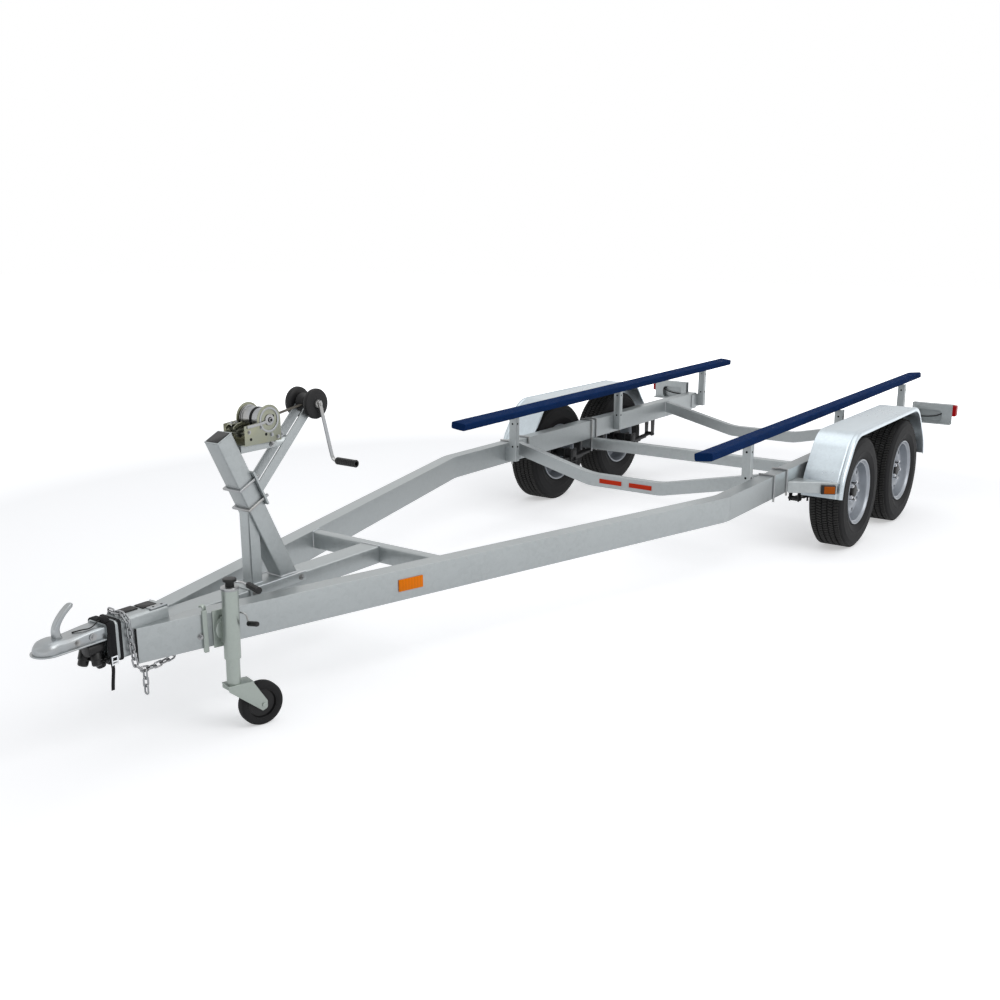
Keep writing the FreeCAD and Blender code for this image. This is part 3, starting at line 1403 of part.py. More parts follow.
def link_at(name, spot, ahead, across):
    """The link with its length along a direction and its width along another."""
    normal = ahead.cross(across)
    turned = group(name, [link])
    turned.Placement = FreeCAD.Placement(FreeCAD.Vector(), FreeCAD.Rotation(ahead, across, normal, "XYZ"))
    return place(turned, *spot)


def safety_chain():
    links = []
    spot = chain_start
    before = None
    sideways = FreeCAD.Vector(1, 0, 0)
    for index, ahead in enumerate(chain_directions()):
        if before is not None:
            step = (before + ahead) * 0.5
            spot = tuple(value + link_pitch * share for value, share in zip(spot, step))
        sideways = (sideways - ahead * sideways.dot(ahead)).normalize()
        across = sideways if index % 2 else ahead.cross(sideways)
        links.append(link_at(f"link_{index}", spot, ahead, across))
        before = ahead
        if index == HANGING_FROM:
            hook = spot
    last = spot
    x, y, z = hook
    drop = z - link_width / 2 - link_length / 2 + 2 * link_wire + 3 * seat_gap
    for index in range(3):
        across = ALONG_Y if index % 2 == 0 else ALONG_X
        links.append(link_at(f"hanging_{index}", (x, y, drop - link_pitch * index), -ALONG_Z, across))
    x, y, z = chain_start
    wire = link_wire / 2
    links.append(staple("chain_staple", "XZ", wire, x - link_wire * 1.5, x + link_wire * 1.5,
                        head_high + seat_gap, z, y - link_length / 4))
    x, y, z = last
    links.append(staple("rail_staple", "YZ", wire, y - link_wire * 1.5, y + link_wire * 1.5,
                        rail_low - seat_gap, z + wire, x - link_length / 4))
    return links


node("safety_chain", safety_chain())

# Jack: it stands upright beside the left rail, on level ground
jack_foot_x = jack_x * lean_cosine + (rail_top + rail_low) / 2 * lean_sine
jack_y = rail_face_y(jack_x) + jack_standoff * taper_stretch


def turned_with_rail(name, parts):
    """Turns pieces drawn about the jack's axis so that their X lies along the left rail."""
    thing = turn(group(name, parts), ALONG_Z, rail_turn)
    bind(thing, "Placement.Base.x", jack_foot_x)
    bind(thing, "Placement.Base.y", jack_y)
    return thing


def jack_node(name, parts):
    node(name, [turned_with_rail(name + "_turned", parts)], True)


# The bracket is bolted flat to the rail, so it leans with the trailer
face_plate = block("face_plate", bracket_width, bracket_plate, bracket_height, -bracket_width / 2,
                   -jack_standoff, -bracket_height / 2)
boss_y = bracket_plate - jack_standoff
boss = bar("swivel_boss", tube_sides, swivel_radius, swivel_thick, 0, boss_y, 0, ALONG_Y)
boss_pin = rod("swivel_pin", swivel_pin, swivel_thick + bracket_plate, 0, boss_y, 0, ALONG_Y)
bracket_seat = turn(group("jack_bracket_seat", [fuse("jack_bracket_solid", [face_plate, boss, boss_pin])]),
                    ALONG_Z, rail_turn)
node("jack_bracket", [place(bracket_seat, jack_x, rail_face_y(jack_x) + jack_standoff * taper_stretch,
                            (rail_top + rail_low) / 2)])

# The jack: sleeve, swivel disc and channel in one, on the bracket's pin
pivot_z = (rail_top + rail_low) / 2 * lean_cosine - jack_x * lean_sine
disc_y = bracket_plate + swivel_thick - jack_standoff + swivel_gap
sleeve = bar("jack_sleeve", tube_sides, jack_tube, jack_top - jack_tube_low, 0, 0, jack_tube_low)
disc = bar("jack_disc", tube_sides, swivel_radius, swivel_thick, 0, disc_y, pivot_z, ALONG_Y)
neck = block("jack_neck", neck_width, jack_standoff, neck_height, -neck_width / 2, disc_y,
             pivot_z - neck_height / 2)
neck_limit = block("jack_neck_limit", 2 * neck_width, 2 * jack_standoff, 2 * neck_height, -neck_width, 0,
                   pivot_z - neck_height)
pin_room = rod("jack_pin_room", swivel_pin + swivel_play, 2 * swivel_thick, 0, disc_y - 1, pivot_z,
               ALONG_Y)
sleeve_bore = bar("jack_sleeve_bore", tube_sides, jack_inner + jack_play, jack_top - jack_tube_low, 0, 0,
                  jack_tube_low)
jack_node("jack_tube", [cut("jack_tube_bored", fuse("jack_tube_welded", [
    sleeve, disc, cut("jack_neck_trimmed", neck, neck_limit)]),
    group("jack_tube_holes", [pin_room, sleeve_bore]))])

cap_neck = bar("jack_cap_neck", tube_sides, jack_tube, cap_rim, 0, 0, jack_top)
cap_stem = bar("jack_cap_stem", 12, jack_cap_stem, jack_cap_height, 0, 0, jack_top)
cap_top = bar("jack_cap_top", 16, jack_cap_radius, cap_rim, 0, 0, jack_top + jack_cap_height - cap_rim)
arm_z = jack_top + jack_cap_height / 2
handle_arm = bar("jack_handle_arm", 8, handle_rod, jack_handle, 0, 0, arm_z, -ALONG_X)
handle_pin = bar("jack_handle_pin", 8, handle_rod, handle_drop, handle_rod - jack_handle, 0, arm_z, ALONG_Y)
jack_node("jack_cap", [fuse("jack_cap_solid", [cap_neck, cap_stem, cap_top, handle_arm, handle_pin])])
jack_node("jack_grip", [bar("jack_grip_form", 12, handle_grip, handle_length, handle_rod - jack_handle,
                            handle_drop, arm_z, ALONG_Y)])

leg_foot = fork_top + fork_plate
leg_outer = rod("leg_outer", jack_inner, jack_leg_high - leg_foot, 0, 0, leg_foot)
leg_inner = rod("leg_inner", jack_inner - jack_wall, jack_leg_high - leg_foot, 0, 0, leg_foot)
jack_node("jack_leg", [cut("leg", leg_outer, leg_inner)])

fork_half = jack_wheel_width / 2 + fork_gap
fork_front = jack_inner + fork_heel
fork_high = fork_top + fork_plate - 1
fork_points = [(fork_front, fork_high), (fork_front, fork_top - fork_drop),
               (fork_heel - jack_trail, jack_wheel_radius - fork_drop - fork_plate),
               (-jack_trail - fork_tip, jack_wheel_radius - fork_tip),
               (-jack_trail - fork_tip, jack_wheel_radius + fork_tip),
               (fork_reach - jack_trail, fork_high)]
fork_sides = [slab(f"fork_side_{index}", "XZ", fork_points, y, fork_plate,
                   {3: fork_tip_round, 4: fork_tip_round})
              for index, y in enumerate((fork_half, -fork_half - fork_plate))]
deck_rear = fork_reach - fork_gap - jack_trail
fork_deck = block("fork_deck", fork_front + 2 - deck_rear, 2 * (fork_half + fork_plate), fork_plate,
                  deck_rear, -fork_half - fork_plate, fork_top - seat_gap)
pin_start = -fork_half - fork_plate - fork_gap
fork_pin = bar("fork_pin", pin_sides, jack_axle, -2 * pin_start, -jack_trail, pin_start,
               jack_wheel_radius, ALONG_Y)
jack_node("jack_fork", [fuse("fork", fork_sides + [fork_deck, fork_pin])])

half_width = jack_wheel_width / 2
bore = jack_axle + spindle_play
jack_tyre_form = cut("jack_tyre_form", many_sided(
    "jack_tyre_body", jack_sides, jack_wheel_radius, -half_width, jack_wheel_width, jack_shoulder,
    jack_shoulder), many_sided("jack_tyre_bore", jack_sides, jack_seat, -half_width, jack_wheel_width))
jack_disc_body = many_sided("jack_disc_body", jack_sides, jack_seat - seat_gap, -half_width + jack_web,
                            jack_wheel_width - 2 * jack_web)
pocket_depth = half_width - jack_web
pockets = [many_sided(f"jack_pocket_{word}", jack_sides, jack_seat - jack_web, start, pocket_depth)
           for word, start in (("near", jack_web), ("far", -half_width))]
jack_boss = many_sided("jack_boss", hub_sides, jack_boss_radius, -half_width, jack_wheel_width)
jack_hub_form = cut("jack_hub_form", fuse("jack_hub_body", [
    cut("jack_disc_web", jack_disc_body, group("jack_pockets", pockets)), jack_boss]),
    rod("jack_hub_bore", bore, jack_wheel_width, 0, -half_width, 0, ALONG_Y))
for word, form in (("tyre", jack_tyre_form), ("hub", jack_hub_form)):
    jack_node("jack_wheel_" + word, [place(group(f"jack_{word}_seated", [form]), -jack_trail, 0,
                                           jack_wheel_radius)])

doc.recompute()

failed = [thing.Name for thing in doc.Objects if "Invalid" in thing.State or "Error" in thing.State]
if failed:
    raise SystemExit(f"failed objects: {failed}")
whole = Part.makeCompound([thing.Shape for thing in nodes])
print("box", whole.BoundBox)
os.makedirs("parts", exist_ok=True)
for thing in nodes:
    shape = thing.Shape
    if shape.isNull() or not shape.isValid():
        raise SystemExit(f"bad shape: {thing.Label}")
    shape.exportStep(f"parts/{thing.Label}.step")
print(len(nodes), "nodes")
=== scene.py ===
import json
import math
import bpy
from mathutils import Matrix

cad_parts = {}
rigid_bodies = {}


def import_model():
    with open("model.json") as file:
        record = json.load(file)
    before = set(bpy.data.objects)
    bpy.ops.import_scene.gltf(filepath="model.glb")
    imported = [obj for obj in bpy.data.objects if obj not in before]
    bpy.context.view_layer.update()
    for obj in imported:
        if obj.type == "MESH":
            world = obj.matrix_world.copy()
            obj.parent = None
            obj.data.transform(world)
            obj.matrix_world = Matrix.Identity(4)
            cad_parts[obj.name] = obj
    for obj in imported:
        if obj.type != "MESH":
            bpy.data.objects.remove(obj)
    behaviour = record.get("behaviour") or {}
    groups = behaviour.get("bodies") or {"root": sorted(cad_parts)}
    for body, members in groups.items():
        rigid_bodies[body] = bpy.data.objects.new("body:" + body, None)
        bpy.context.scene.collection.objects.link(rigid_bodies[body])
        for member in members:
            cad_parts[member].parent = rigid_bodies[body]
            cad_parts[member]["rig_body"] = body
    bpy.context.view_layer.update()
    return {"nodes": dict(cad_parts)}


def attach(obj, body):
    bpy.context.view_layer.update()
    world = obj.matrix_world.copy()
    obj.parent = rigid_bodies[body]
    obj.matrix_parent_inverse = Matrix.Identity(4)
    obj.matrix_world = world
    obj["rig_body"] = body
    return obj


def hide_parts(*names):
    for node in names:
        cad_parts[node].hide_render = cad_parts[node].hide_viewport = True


bl_info = {
    "name": "Boat Trailer",
    "version": (1, 1, 0),
    "blender": (4, 5, 0),
    "location": "3D View > Sidebar > Trailer",
    "description": "Dresses a tandem-axle boat trailer around its packed frame",
    "category": "Object",
}

import bmesh
import bpy
from mathutils import Matrix, Vector, noise

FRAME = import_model()
CAD = FRAME["nodes"]

# The trailer is drawn level, in millimetres, and stands slightly nose down on its jack
NOSE_DOWN = math.radians(1.4)
SHIFT = -1.5852
STANCE = Matrix.Translation((SHIFT, 0, 0)) @ Matrix.Rotation(NOSE_DOWN, 4, "Y")
MILLIMETRES = Matrix.Scale(0.001, 4)
LEVEL = STANCE @ MILLIMETRES

# Frame
RAIL_OUTER = 918
RAIL_WIDE = 76
RAIL_MIDDLE_Z = 485.5
BEND_X = 1788
RAIL_END_X = 4693
TAPER = (RAIL_OUTER - 61) / (RAIL_END_X - BEND_X)
RAIL_TURN = -math.atan(TAPER)

# Wheels
AXLE_X = 425
WHEEL_Y = 1062
WHEEL_HEIGHTS = {"front": 346.5, "rear": 325.7}

# The jack hangs plumb beside the left rail
JACK_PLACE = (4418.54, 209.7, 0)
JACK = (Matrix.Translation((SHIFT, 0, 0)) @ MILLIMETRES @ Matrix.Translation(JACK_PLACE)
        @ Matrix.Rotation(RAIL_TURN, 4, "Z"))

# Winch and roller
DRUM_SPOT = Vector((4040, 0, 1180))
ROLLER_SPOT = Vector((3790, 0, 1208))
CRANK_SWING = math.radians(14)

# Coupler
BALL_X = 4986
COUPLER_LOW = 542
HEAD_MIDDLE_Z = 524
HEAD_TOP = 594.2

# Turns a frame to face along +X, with its X to the left and its Y up
FORWARD = Matrix(((0, 0, 1, 0), (1, 0, 0, 0), (0, 1, 0, 0), (0, 0, 0, 1)))
# The direction of the side that is near in the photograph
NEAR = (0, 1, 0)

# An edge that turns more than this is a corner, and points closer than this are one
CORNER_ANGLE = math.radians(32)
SAME_POINT = 0.00002


# Shader maths
RIB_PITCH = 0.0022
PRISM_PITCH = 0.004


class Value:
    """A shader socket that takes part in Python sums."""

    def __init__(self, shader, socket):
        self.shader = shader
        self.socket = socket

    def _math(self, operation, first, second):
        return self.shader.node("ShaderNodeMath", {"operation": operation}, {0: first, 1: second})

    def __add__(self, other):
        return self._math("ADD", self, other)

    def __radd__(self, other):
        return self._math("ADD", other, self)

    def __sub__(self, other):
        return self._math("SUBTRACT", self, other)

    def __rsub__(self, other):
        return self._math("SUBTRACT", other, self)

    def __mul__(self, other):
        return self._math("MULTIPLY", self, other)

    def __rmul__(self, other):
        return self._math("MULTIPLY", other, self)

    def larger(self, other):
        return self._math("MAXIMUM", self, other)

    def clamped(self, low, high):
        return self.shader.node("ShaderNodeMapRange", {"clamp": True},
                                {"Value": self, "From Min": low, "From Max": high})


class Shader:
    """Builds the nodes of one material, or of a world that is given."""

    def __init__(self, name, world=None):
        self.material = world or bpy.data.materials.new(name)
        self.material.use_nodes = True
        self.tree = self.material.node_tree
        self.tree.nodes.clear()

    def node(self, kind, settings=None, inputs=None, output=0):
        made = self.tree.nodes.new(kind)
        for key, value in (settings or {}).items():
            if key == "stops":
                ramp = made.color_ramp
                while len(ramp.elements) < len(value):
                    ramp.elements.new(0.5)
                for element, (position, color) in zip(ramp.elements, value):
                    element.position = position
                    element.color = (*color, 1)
            else:
                setattr(made, key, value)
        for key, value in (inputs or {}).items():
            socket = made.inputs[key]
            if isinstance(value, Value):
                self.tree.links.new(value.socket, socket)
            elif hasattr(value, "__len__") and len(value) == 3 and socket.type == "RGBA":
                socket.default_value = (*value, 1)
            else:
                socket.default_value = value
        if not made.outputs:
            return None
        return Value(self, made.outputs[output])

    def place(self, scale=(1, 1, 1)):
        spot = self.node("ShaderNodeTexCoord", output="Object")
        return self.node("ShaderNodeMapping", {}, {"Vector": spot, "Scale": scale})

    def noise(self, scale, detail=3.0, where=None):
        return self.node("ShaderNodeTexNoise", {}, {"Vector": where or self.place(), "Scale": scale,
                                                    "Detail": detail})

    def cells(self, scale, where, output="Distance"):
        return self.node("ShaderNodeTexVoronoi", {}, {"Vector": where, "Scale": scale}, output)

    def mix(self, share, first, second):
        return self.node("ShaderNodeMix", {"data_type": "RGBA"}, {0: share, 6: first, 7: second}, 2)

    def ramp(self, share, *stops):
        return self.node("ShaderNodeValToRGB", {"stops": stops}, {"Fac": share})

    def bump(self, height, distance, strength=1.0):
        return self.node("ShaderNodeBump", {}, {"Height": height, "Distance": distance,
                                                "Strength": strength})

    def seen(self):
        """1 for rays from the camera, from metal and through glass, and 0 for light."""
        camera, metal, glass = (self.node("ShaderNodeLightPath", output=f"Is {word} Ray")
                                for word in ("Camera", "Glossy", "Transmission"))
        return camera.larger(metal).larger(glass)

    def surface(self, **inputs):
        named = {key.replace("_", " ").title().replace("Ior", "IOR"): value
                 for key, value in inputs.items()}
        face = self.node("ShaderNodeBsdfPrincipled", {}, named)
        self.node("ShaderNodeOutputMaterial", {}, {"Surface": face})
        return self.material


def tint(color, share):
    return tuple(channel * share for channel in color)


def galvanised(name, color, spangle, rough=0.42, contrast=0.10, metallic=0.75, streaks=0.2,
               dents=0.0005):
    """Hot-dip zinc: crystal grains that differ a little in shade and gloss, over slow clouds."""
    s = Shader(name)
    spot = s.place()
    drift = s.node("ShaderNodeTexNoise", {}, {"Vector": spot, "Scale": 22.0}, 1)
    moved = s.node("ShaderNodeVectorMath", {"operation": "MULTIPLY_ADD"},
                   {0: drift, 1: (0.02, 0.02, 0.02), 2: spot})
    grain, flakes = (s.node("ShaderNodeSeparateColor", {},
                            {"Color": s.cells(scale, moved, output="Color")})
                     for scale in (spangle, spangle * 3.1))
    clouds = s.noise(3.2, 4.0)
    fine = s.noise(420.0, 2.0)
    runs = s.noise(6.0, 3.0, s.place((0.3, 1, 5)))
    shade = (grain * 0.30 + flakes * 0.12 + clouds * 0.6 + fine * 0.15 + runs * streaks - 0.15)
    base = s.ramp(shade.clamped(0.0, 1.0), (0.0, tint(color, 1 - 1.7 * contrast)),
                  (0.5, color), (1.0, tint(color, 1 + contrast)))
    gloss = rough + (grain - 0.5) * 0.08 + (clouds - 0.5) * 0.12
    relief = s.bump(fine * 0.4 + grain * 0.06 + s.noise(60.0, 3.0) * 0.6, dents, 0.5)
    return s.surface(base_color=base, metallic=metallic, roughness=gloss, normal=relief)


def mottled(name, color, rough, patches, low, high, grain, dull, **more):
    """A plain finish with duller patches. Patches are (scale, detail), low and high are places
    and tints of the shade, and grain is (scale, detail, depth, strength)."""
    s = Shader(name)
    dust = s.noise(*patches)
    base = s.ramp(dust, *((place, tint(color, share)) for place, share in (low, high)))
    scale, detail, depth, strength = grain
    return s.surface(base_color=base, roughness=rough + dust * dull,
                     normal=s.bump(s.noise(scale, detail), depth, strength), **more)


def painted(name, color, rough, metallic, coat):
    """Sprayed paint with a faint orange peel and dust in the shade."""
    return mottled(name, color, rough, (14.0, 4.0), (0.3, 0.88), (0.7, 1.06),
                   (900.0, 1.0, 0.0001, 0.3), 0.08, metallic=metallic, coat_weight=coat)


def rubber(name, color, rough):
    """Black rubber, greyer where dust has settled."""
    return mottled(name, color, rough, (18.0, 5.0), (0.35, 1), (0.75, 1.9),
                   (700.0, 3.0, 0.0004, 0.5), 0.2, specular_ior_level=0.3)


def plastic(name, color, rough):
    """Moulded plastic with a fine grain."""
    return mottled(name, color, rough, (24.0, 4.0), (0.3, 0.85), (0.75, 1.25),
                   (900.0, 2.0, 0.0003, 0.4), 0.12, specular_ior_level=0.35)


def plated(name, color, rough=0.28, warmth=0.86):
    """Zinc plate with a slight yellow cast and faint dull patches."""
    s = Shader(name)
    patches = s.noise(30.0, 3.0)
    warm = s.noise(12.0, 2.0)
    yellow = tuple(c * f for c, f in zip(color, (1.02, 0.98, warmth)))
    base = s.mix(warm.clamped(0.4, 0.65), color, yellow)
    relief = s.bump(s.noise(500.0, 2.0), 0.0002, 0.3)
    return s.surface(base_color=base, metallic=0.9, roughness=rough + patches * 0.14, normal=relief)


def webbing(name, color):
    """Flat woven strap: ribs across it at about two millimetres, lighter on their crests and darker
    in the grooves as painted highlight and painted shade.
    """
    s = Shader(name)
    ribs = s.node("ShaderNodeTexWave", {"wave_type": "BANDS", "bands_direction": "DIAGONAL"},
                  {"Vector": s.place(), "Scale": 0.31 / RIB_PITCH, "Distortion": 0.4})
    # Painted highlight and painted shade: the ribs that raise the bump also lighten the crests and
    # darken the grooves; the noise adds random tone.
    base = s.ramp(ribs * 0.6 + s.noise(40.0, 3.0) * 0.5, (0.1, tint(color, 0.6)),
                  (0.9, tint(color, 1.5)))
    return s.surface(base_color=base, roughness=0.82, normal=s.bump(ribs, 0.0006, 0.7),
                     specular_ior_level=0.25)


def carpet(name, color):
    """Short looped pile: tufts about two millimetres across, lighter where the pile stands high and
    darker where it sinks, as painted highlight and painted shade.
    """
    s = Shader(name)
    spot = s.place()
    tuft = s.cells(420.0, spot)
    fuzz = s.noise(1500.0, 3.0, spot)
    patch = s.noise(7.0, 4.0, spot)
    # Painted highlight and painted shade: the tufts and fuzz that raise the bump also set the
    # colour, so high pile is lighter and low pile darker; the patches are random tone.
    shade = (tuft * 0.9 + fuzz * 0.45 + patch * 0.5 - 0.3).clamped(0.0, 1.0)
    base = s.ramp(shade, (0.0, tint(color, 0.5)), (0.55, color), (1.0, tint(color, 1.8)))
    relief = s.bump(tuft + fuzz * 0.6, 0.0022, 0.8)
    return s.surface(base_color=base, roughness=0.93, normal=relief, sheen_weight=0.02,
                     sheen_roughness=0.5, sheen_tint=(0.3, 0.45, 0.8, 1), specular_ior_level=0.1)


def lens(name, color):
    """Clear coloured plastic over rows of small prisms, each lighter at its middle and darker at
    its edges as painted highlight and painted shade.
    """
    s = Shader(name)
    spot = s.place((1 / PRISM_PITCH, 1 / PRISM_PITCH, 1 / PRISM_PITCH))
    wave = s.node("ShaderNodeTexVoronoi", {"feature": "F1", "distance": "CHEBYCHEV"},
                  {"Vector": spot, "Scale": 1.0, "Randomness": 0.0})
    # Painted highlight and painted shade on each prism: lighter at its middle, darker towards its
    # edges.
    base = s.ramp(wave, (0.0, tint(color, 1.25)), (0.5, tint(color, 0.8)))
    relief = s.bump(wave, PRISM_PITCH * 0.3, 0.6)
    return s.surface(base_color=base, roughness=0.36, coat_weight=0.04, normal=relief,
                     specular_ior_level=0.1)


MATERIALS = {}


def build_materials(look):
    """Makes each finish. Each row also lists the material slot that its pieces belong to."""
    for finish, slot, material in (
            ("steel", "galvanised", galvanised("galvanised_steel", tuple(look.steel), 60.0)),
            ("sheet", "fender_sheet", galvanised("galvanised_sheet", tuple(look.sheet), 70.0, 0.32,
                                                 0.14, 0.9, 0.6, 0.00015)),
            ("jack", "zinc", galvanised("zinc_jack", tuple(look.jack), 130.0, 0.36, 0.06, 0.7)),
            ("zinc", "zinc", plated("khaki_zinc", (0.27, 0.28, 0.225))),
            ("coupler", "galvanised", plated("coupler_zinc", (0.33, 0.355, 0.37), 0.26, 0.95)),
            ("bolt", "zinc", plated("bolt_zinc", (0.33, 0.34, 0.35), 0.26, 0.93)),
            ("bright", "zinc", plated("bright_zinc", (0.72, 0.74, 0.76), 0.16, 0.97)),
            ("dark_zinc", "zinc", plated("dark_zinc", (0.075, 0.08, 0.07), 0.4)),
            ("chain", "galvanised", plated("chain_zinc", (0.30, 0.31, 0.32), 0.18, 0.97)),
            ("rim", "wheel_silver", painted("wheel_silver", (0.36, 0.385, 0.42), 0.34, 0.45, 0.3)),
            ("iron", "black_steel", painted("black_iron", (0.010, 0.010, 0.011), 0.55, 0.1, 0.0)),
            ("weld", "galvanised", plated("weld_zinc", (0.50, 0.53, 0.55), 0.4, 0.96)),
            # Painted highlight and painted shade: the tread blocks take a lighter copy of the
            # tyre's rubber, and the casing between them a darker one.
            ("tread", "tyre", rubber("tread_rubber_painted_highlight", (0.017, 0.0168, 0.016), 0.6)),
            ("tyre", "tyre", rubber("tyre_rubber_painted_shade", (0.0055, 0.0055, 0.006), 0.66)),
            ("rubber", "black_rubber", rubber("roller_rubber", (0.004, 0.004, 0.0045), 0.45)),
            ("black", "black_plastic", plastic("black_plastic", (0.004, 0.004, 0.0045), 0.36)),
            # Painted shade: dark discs with this finish stand for holes, where one would see into
            # their dark insides.
            ("hole", None, plastic("painted_hole_shade", (0.003, 0.003, 0.0035), 0.9)),
            ("strap", "black_rubber", webbing("strap_black", (0.006, 0.006, 0.007))),
            ("belt", "black_rubber", webbing("winch_strap", (0.10, 0.09, 0.075))),
            ("carpet", "bunk_carpet", carpet("bunk_carpet", tuple(look.carpet))),
            ("red", "red_lens", lens("red_lens", (0.42, 0.004, 0.006))),
            ("orange", "red_lens", lens("strip_lens", (0.66, 0.035, 0.006))),
            ("amber", "amber_lens", lens("amber_lens", (0.92, 0.22, 0.001))),
            ("dark_amber", "amber_lens", lens("dark_amber_lens", (0.42, 0.09, 0.002)))):
        MATERIALS[finish] = material


# Mesh helpers
def finish_mesh(name, mesh, finish, body, crisp, replaces):
    """Gives a mesh its shading, finish and body. Its place is in its points."""
    mesh.shade_smooth()
    mesh.set_sharp_from_angle(angle=math.radians(crisp))
    mesh.materials.clear()
    mesh.materials.append(MATERIALS[finish])
    for face in mesh.polygons:
        face.material_index = 0
    piece = bpy.data.objects.new(name, mesh)
    bpy.context.scene.collection.objects.link(piece)
    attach(piece, body)
    if replaces:
        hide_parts(*replaces)
    return piece


def as_mesh(bm, name):
    mesh = bpy.data.meshes.new(name)
    bm.to_mesh(mesh)
    bm.free()
    return mesh


def piece_from(bm, name, finish, body="chassis", crisp=35.0, frame=LEVEL, replaces=()):
    """Turns drawn faces outward, puts them in the frame and makes the piece."""
    bmesh.ops.remove_doubles(bm, verts=bm.verts, dist=0.001)
    bmesh.ops.recalc_face_normals(bm, faces=bm.faces)
    bm.transform(frame)
    return finish_mesh(name, as_mesh(bm, name), finish, body, crisp, replaces)


def break_corners(bm, width, steps, least):
    """Rounds the outer corners longer than a length."""
    edges = [edge for edge in bm.edges if len(edge.link_faces) == 2 and edge.is_convex
             and edge.calc_face_angle(0) > CORNER_ANGLE and edge.calc_length() >= least]
    if edges:
        bmesh.ops.bevel(bm, geom=edges, offset=width, segments=steps, profile=0.5, affect="EDGES",
                        clamp_overlap=True)


def rounded_copy(name, node, finish, width=0.0012, least=0.0, steps=2):
    """A copy of a CAD node with flat faces and broken corners, which stands for it."""
    bm = bmesh.new()
    bm.from_mesh(CAD[node].data)
    bmesh.ops.remove_doubles(bm, verts=bm.verts, dist=SAME_POINT)
    bmesh.ops.dissolve_limit(bm, angle_limit=math.radians(1.0), verts=bm.verts, edges=bm.edges,
                             use_dissolve_boundaries=False)
    break_corners(bm, width, steps, least)
    return finish_mesh(name, as_mesh(bm, name), finish, CAD[node]["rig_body"], 35.0, [node])


def rounded_copies(*rows):
    for row in rows:
        rounded_copy(*row)


def aimed(at, axis=(0, 0, 1)):
    """A frame at a point, with its Z along an axis."""
    facing = Vector((0, 0, 1)).rotation_difference(Vector(axis)).to_matrix().to_4x4()
    return Matrix.Translation(at) @ facing


def on_circle(radius, turn, along=0.0):
    """A point round the Z axis."""
    return Vector((radius * math.cos(turn), radius * math.sin(turn), along))


def lathe(bm, profile, steps, frame, closed=False):
    """Turns (along, radius) points about the frame's Z. A radius of 0 makes a pole."""
    rings = []
    for along, radius in profile:
        count = steps if radius else 1
        rings.append([bm.verts.new(frame @ on_circle(radius, math.tau * index / steps, along))
                      for index in range(count)])
    pairs = list(zip(rings, rings[1:]))
    if closed:
        pairs.append((rings[-1], rings[0]))
    for first, second in pairs:
        for index in range(steps):
            after = (index + 1) % steps
            corners = [first[index % len(first)], first[after % len(first)],
                       second[after % len(second)], second[index % len(second)]]
            bm.faces.new(list(dict.fromkeys(corners)))


def loft(bm, rings, cap=True):
    """Joins rings of points with faces, and closes both ends."""
    made = [[bm.verts.new(point) for point in ring] for ring in rings]
    for first, second in zip(made, made[1:]):
        count = len(first)
        for index in range(count):
            after = (index + 1) % count
            bm.faces.new([first[index], first[after], second[after], second[index]])
    if cap:
        bm.faces.new(made[0][::-1])
        bm.faces.new(made[-1])


def pad(bm, frame, half_x, half_y, radius, layers):
    """A plate with rounded corners, in layers of (height, inset)."""
    loft(bm, [[frame @ Vector((x, y, height))
               for x, y in box_outline(half_x - inset, half_y - inset, radius)]
              for height, inset in layers])


def slab(bm, outline, start, end, frame):
    """A plate of an outline in the frame's XY plane, between two heights."""
    loft(bm, [[frame @ Vector((x, y, height)) for x, y in outline] for height in (start, end)])


def rounded_outline(points, rounds, steps=6):
    """Flat points with their corners rounded to arcs, an open or a closed line."""
    flat = []
    for index, point in enumerate(points):
        here = Vector(point)
        radius = rounds.get(index, 0)
        if not radius:
            flat.append(here)
            continue
        before = (Vector(points[index - 1]) - here).normalized()
        after = (Vector(points[(index + 1) % len(points)]) - here).normalized()
        half = before.angle(after) / 2
        middle = here + (before + after).normalized() * radius / math.sin(half)
        start = here + before * radius / math.tan(half)
        end = here + after * radius / math.tan(half)
        for step in range(steps + 1):
            spoke = (start - middle).lerp(end - middle, step / steps).normalized()
            flat.append(middle + spoke * radius)
    return flat


def box_outline(half_x, half_y, radius, steps=5):
    corners = [(-half_x, -half_y), (half_x, -half_y), (half_x, half_y), (-half_x, half_y)]
    return rounded_outline(corners, dict.fromkeys(range(4), radius), steps)


def smooth_line(points, steps=8):
    """A smooth line through points."""
    spots = [Vector(point) for point in points]
    spots = [spots[0] * 2 - spots[1]] + spots + [spots[-1] * 2 - spots[-2]]
    line = []
    for a, b, c, d in zip(spots, spots[1:], spots[2:], spots[3:]):
        for step in range(steps):
            t = step / steps
            line.append(0.5 * (2 * b + (c - a) * t + (2 * a - 5 * b + 4 * c - d) * t * t
                               + (3 * b - a - 3 * c + d) * t * t * t))
    line.append(spots[-2])
    return line


def frames_along(line, up=(0, 0, 1)):
    """Frames along a line, whose Z runs with it and whose X stays near up."""
    frames = []
    side = Vector(up)
    for index, spot in enumerate(line):
        before = line[max(index - 1, 0)]
        after = line[min(index + 1, len(line) - 1)]
        ahead = (after - before).normalized()
        side = (side - ahead * side.dot(ahead)).normalized()
        turn = Matrix((side, ahead.cross(side), ahead)).transposed().to_4x4()
        frames.append(Matrix.Translation(spot) @ turn)
    return frames


def swept(bm, line, outline, up=(0, 0, 1), sizes=None):
    """An outline carried along a line. Its X keeps to up, and sizes scale it on the way."""
    frames = frames_along(line, up)
    sizes = sizes or [(1, 1)] * len(frames)
    loft(bm, [[frame @ Vector((x * wide, y * deep, 0)) for x, y in outline]
              for frame, (wide, deep) in zip(frames, sizes)])


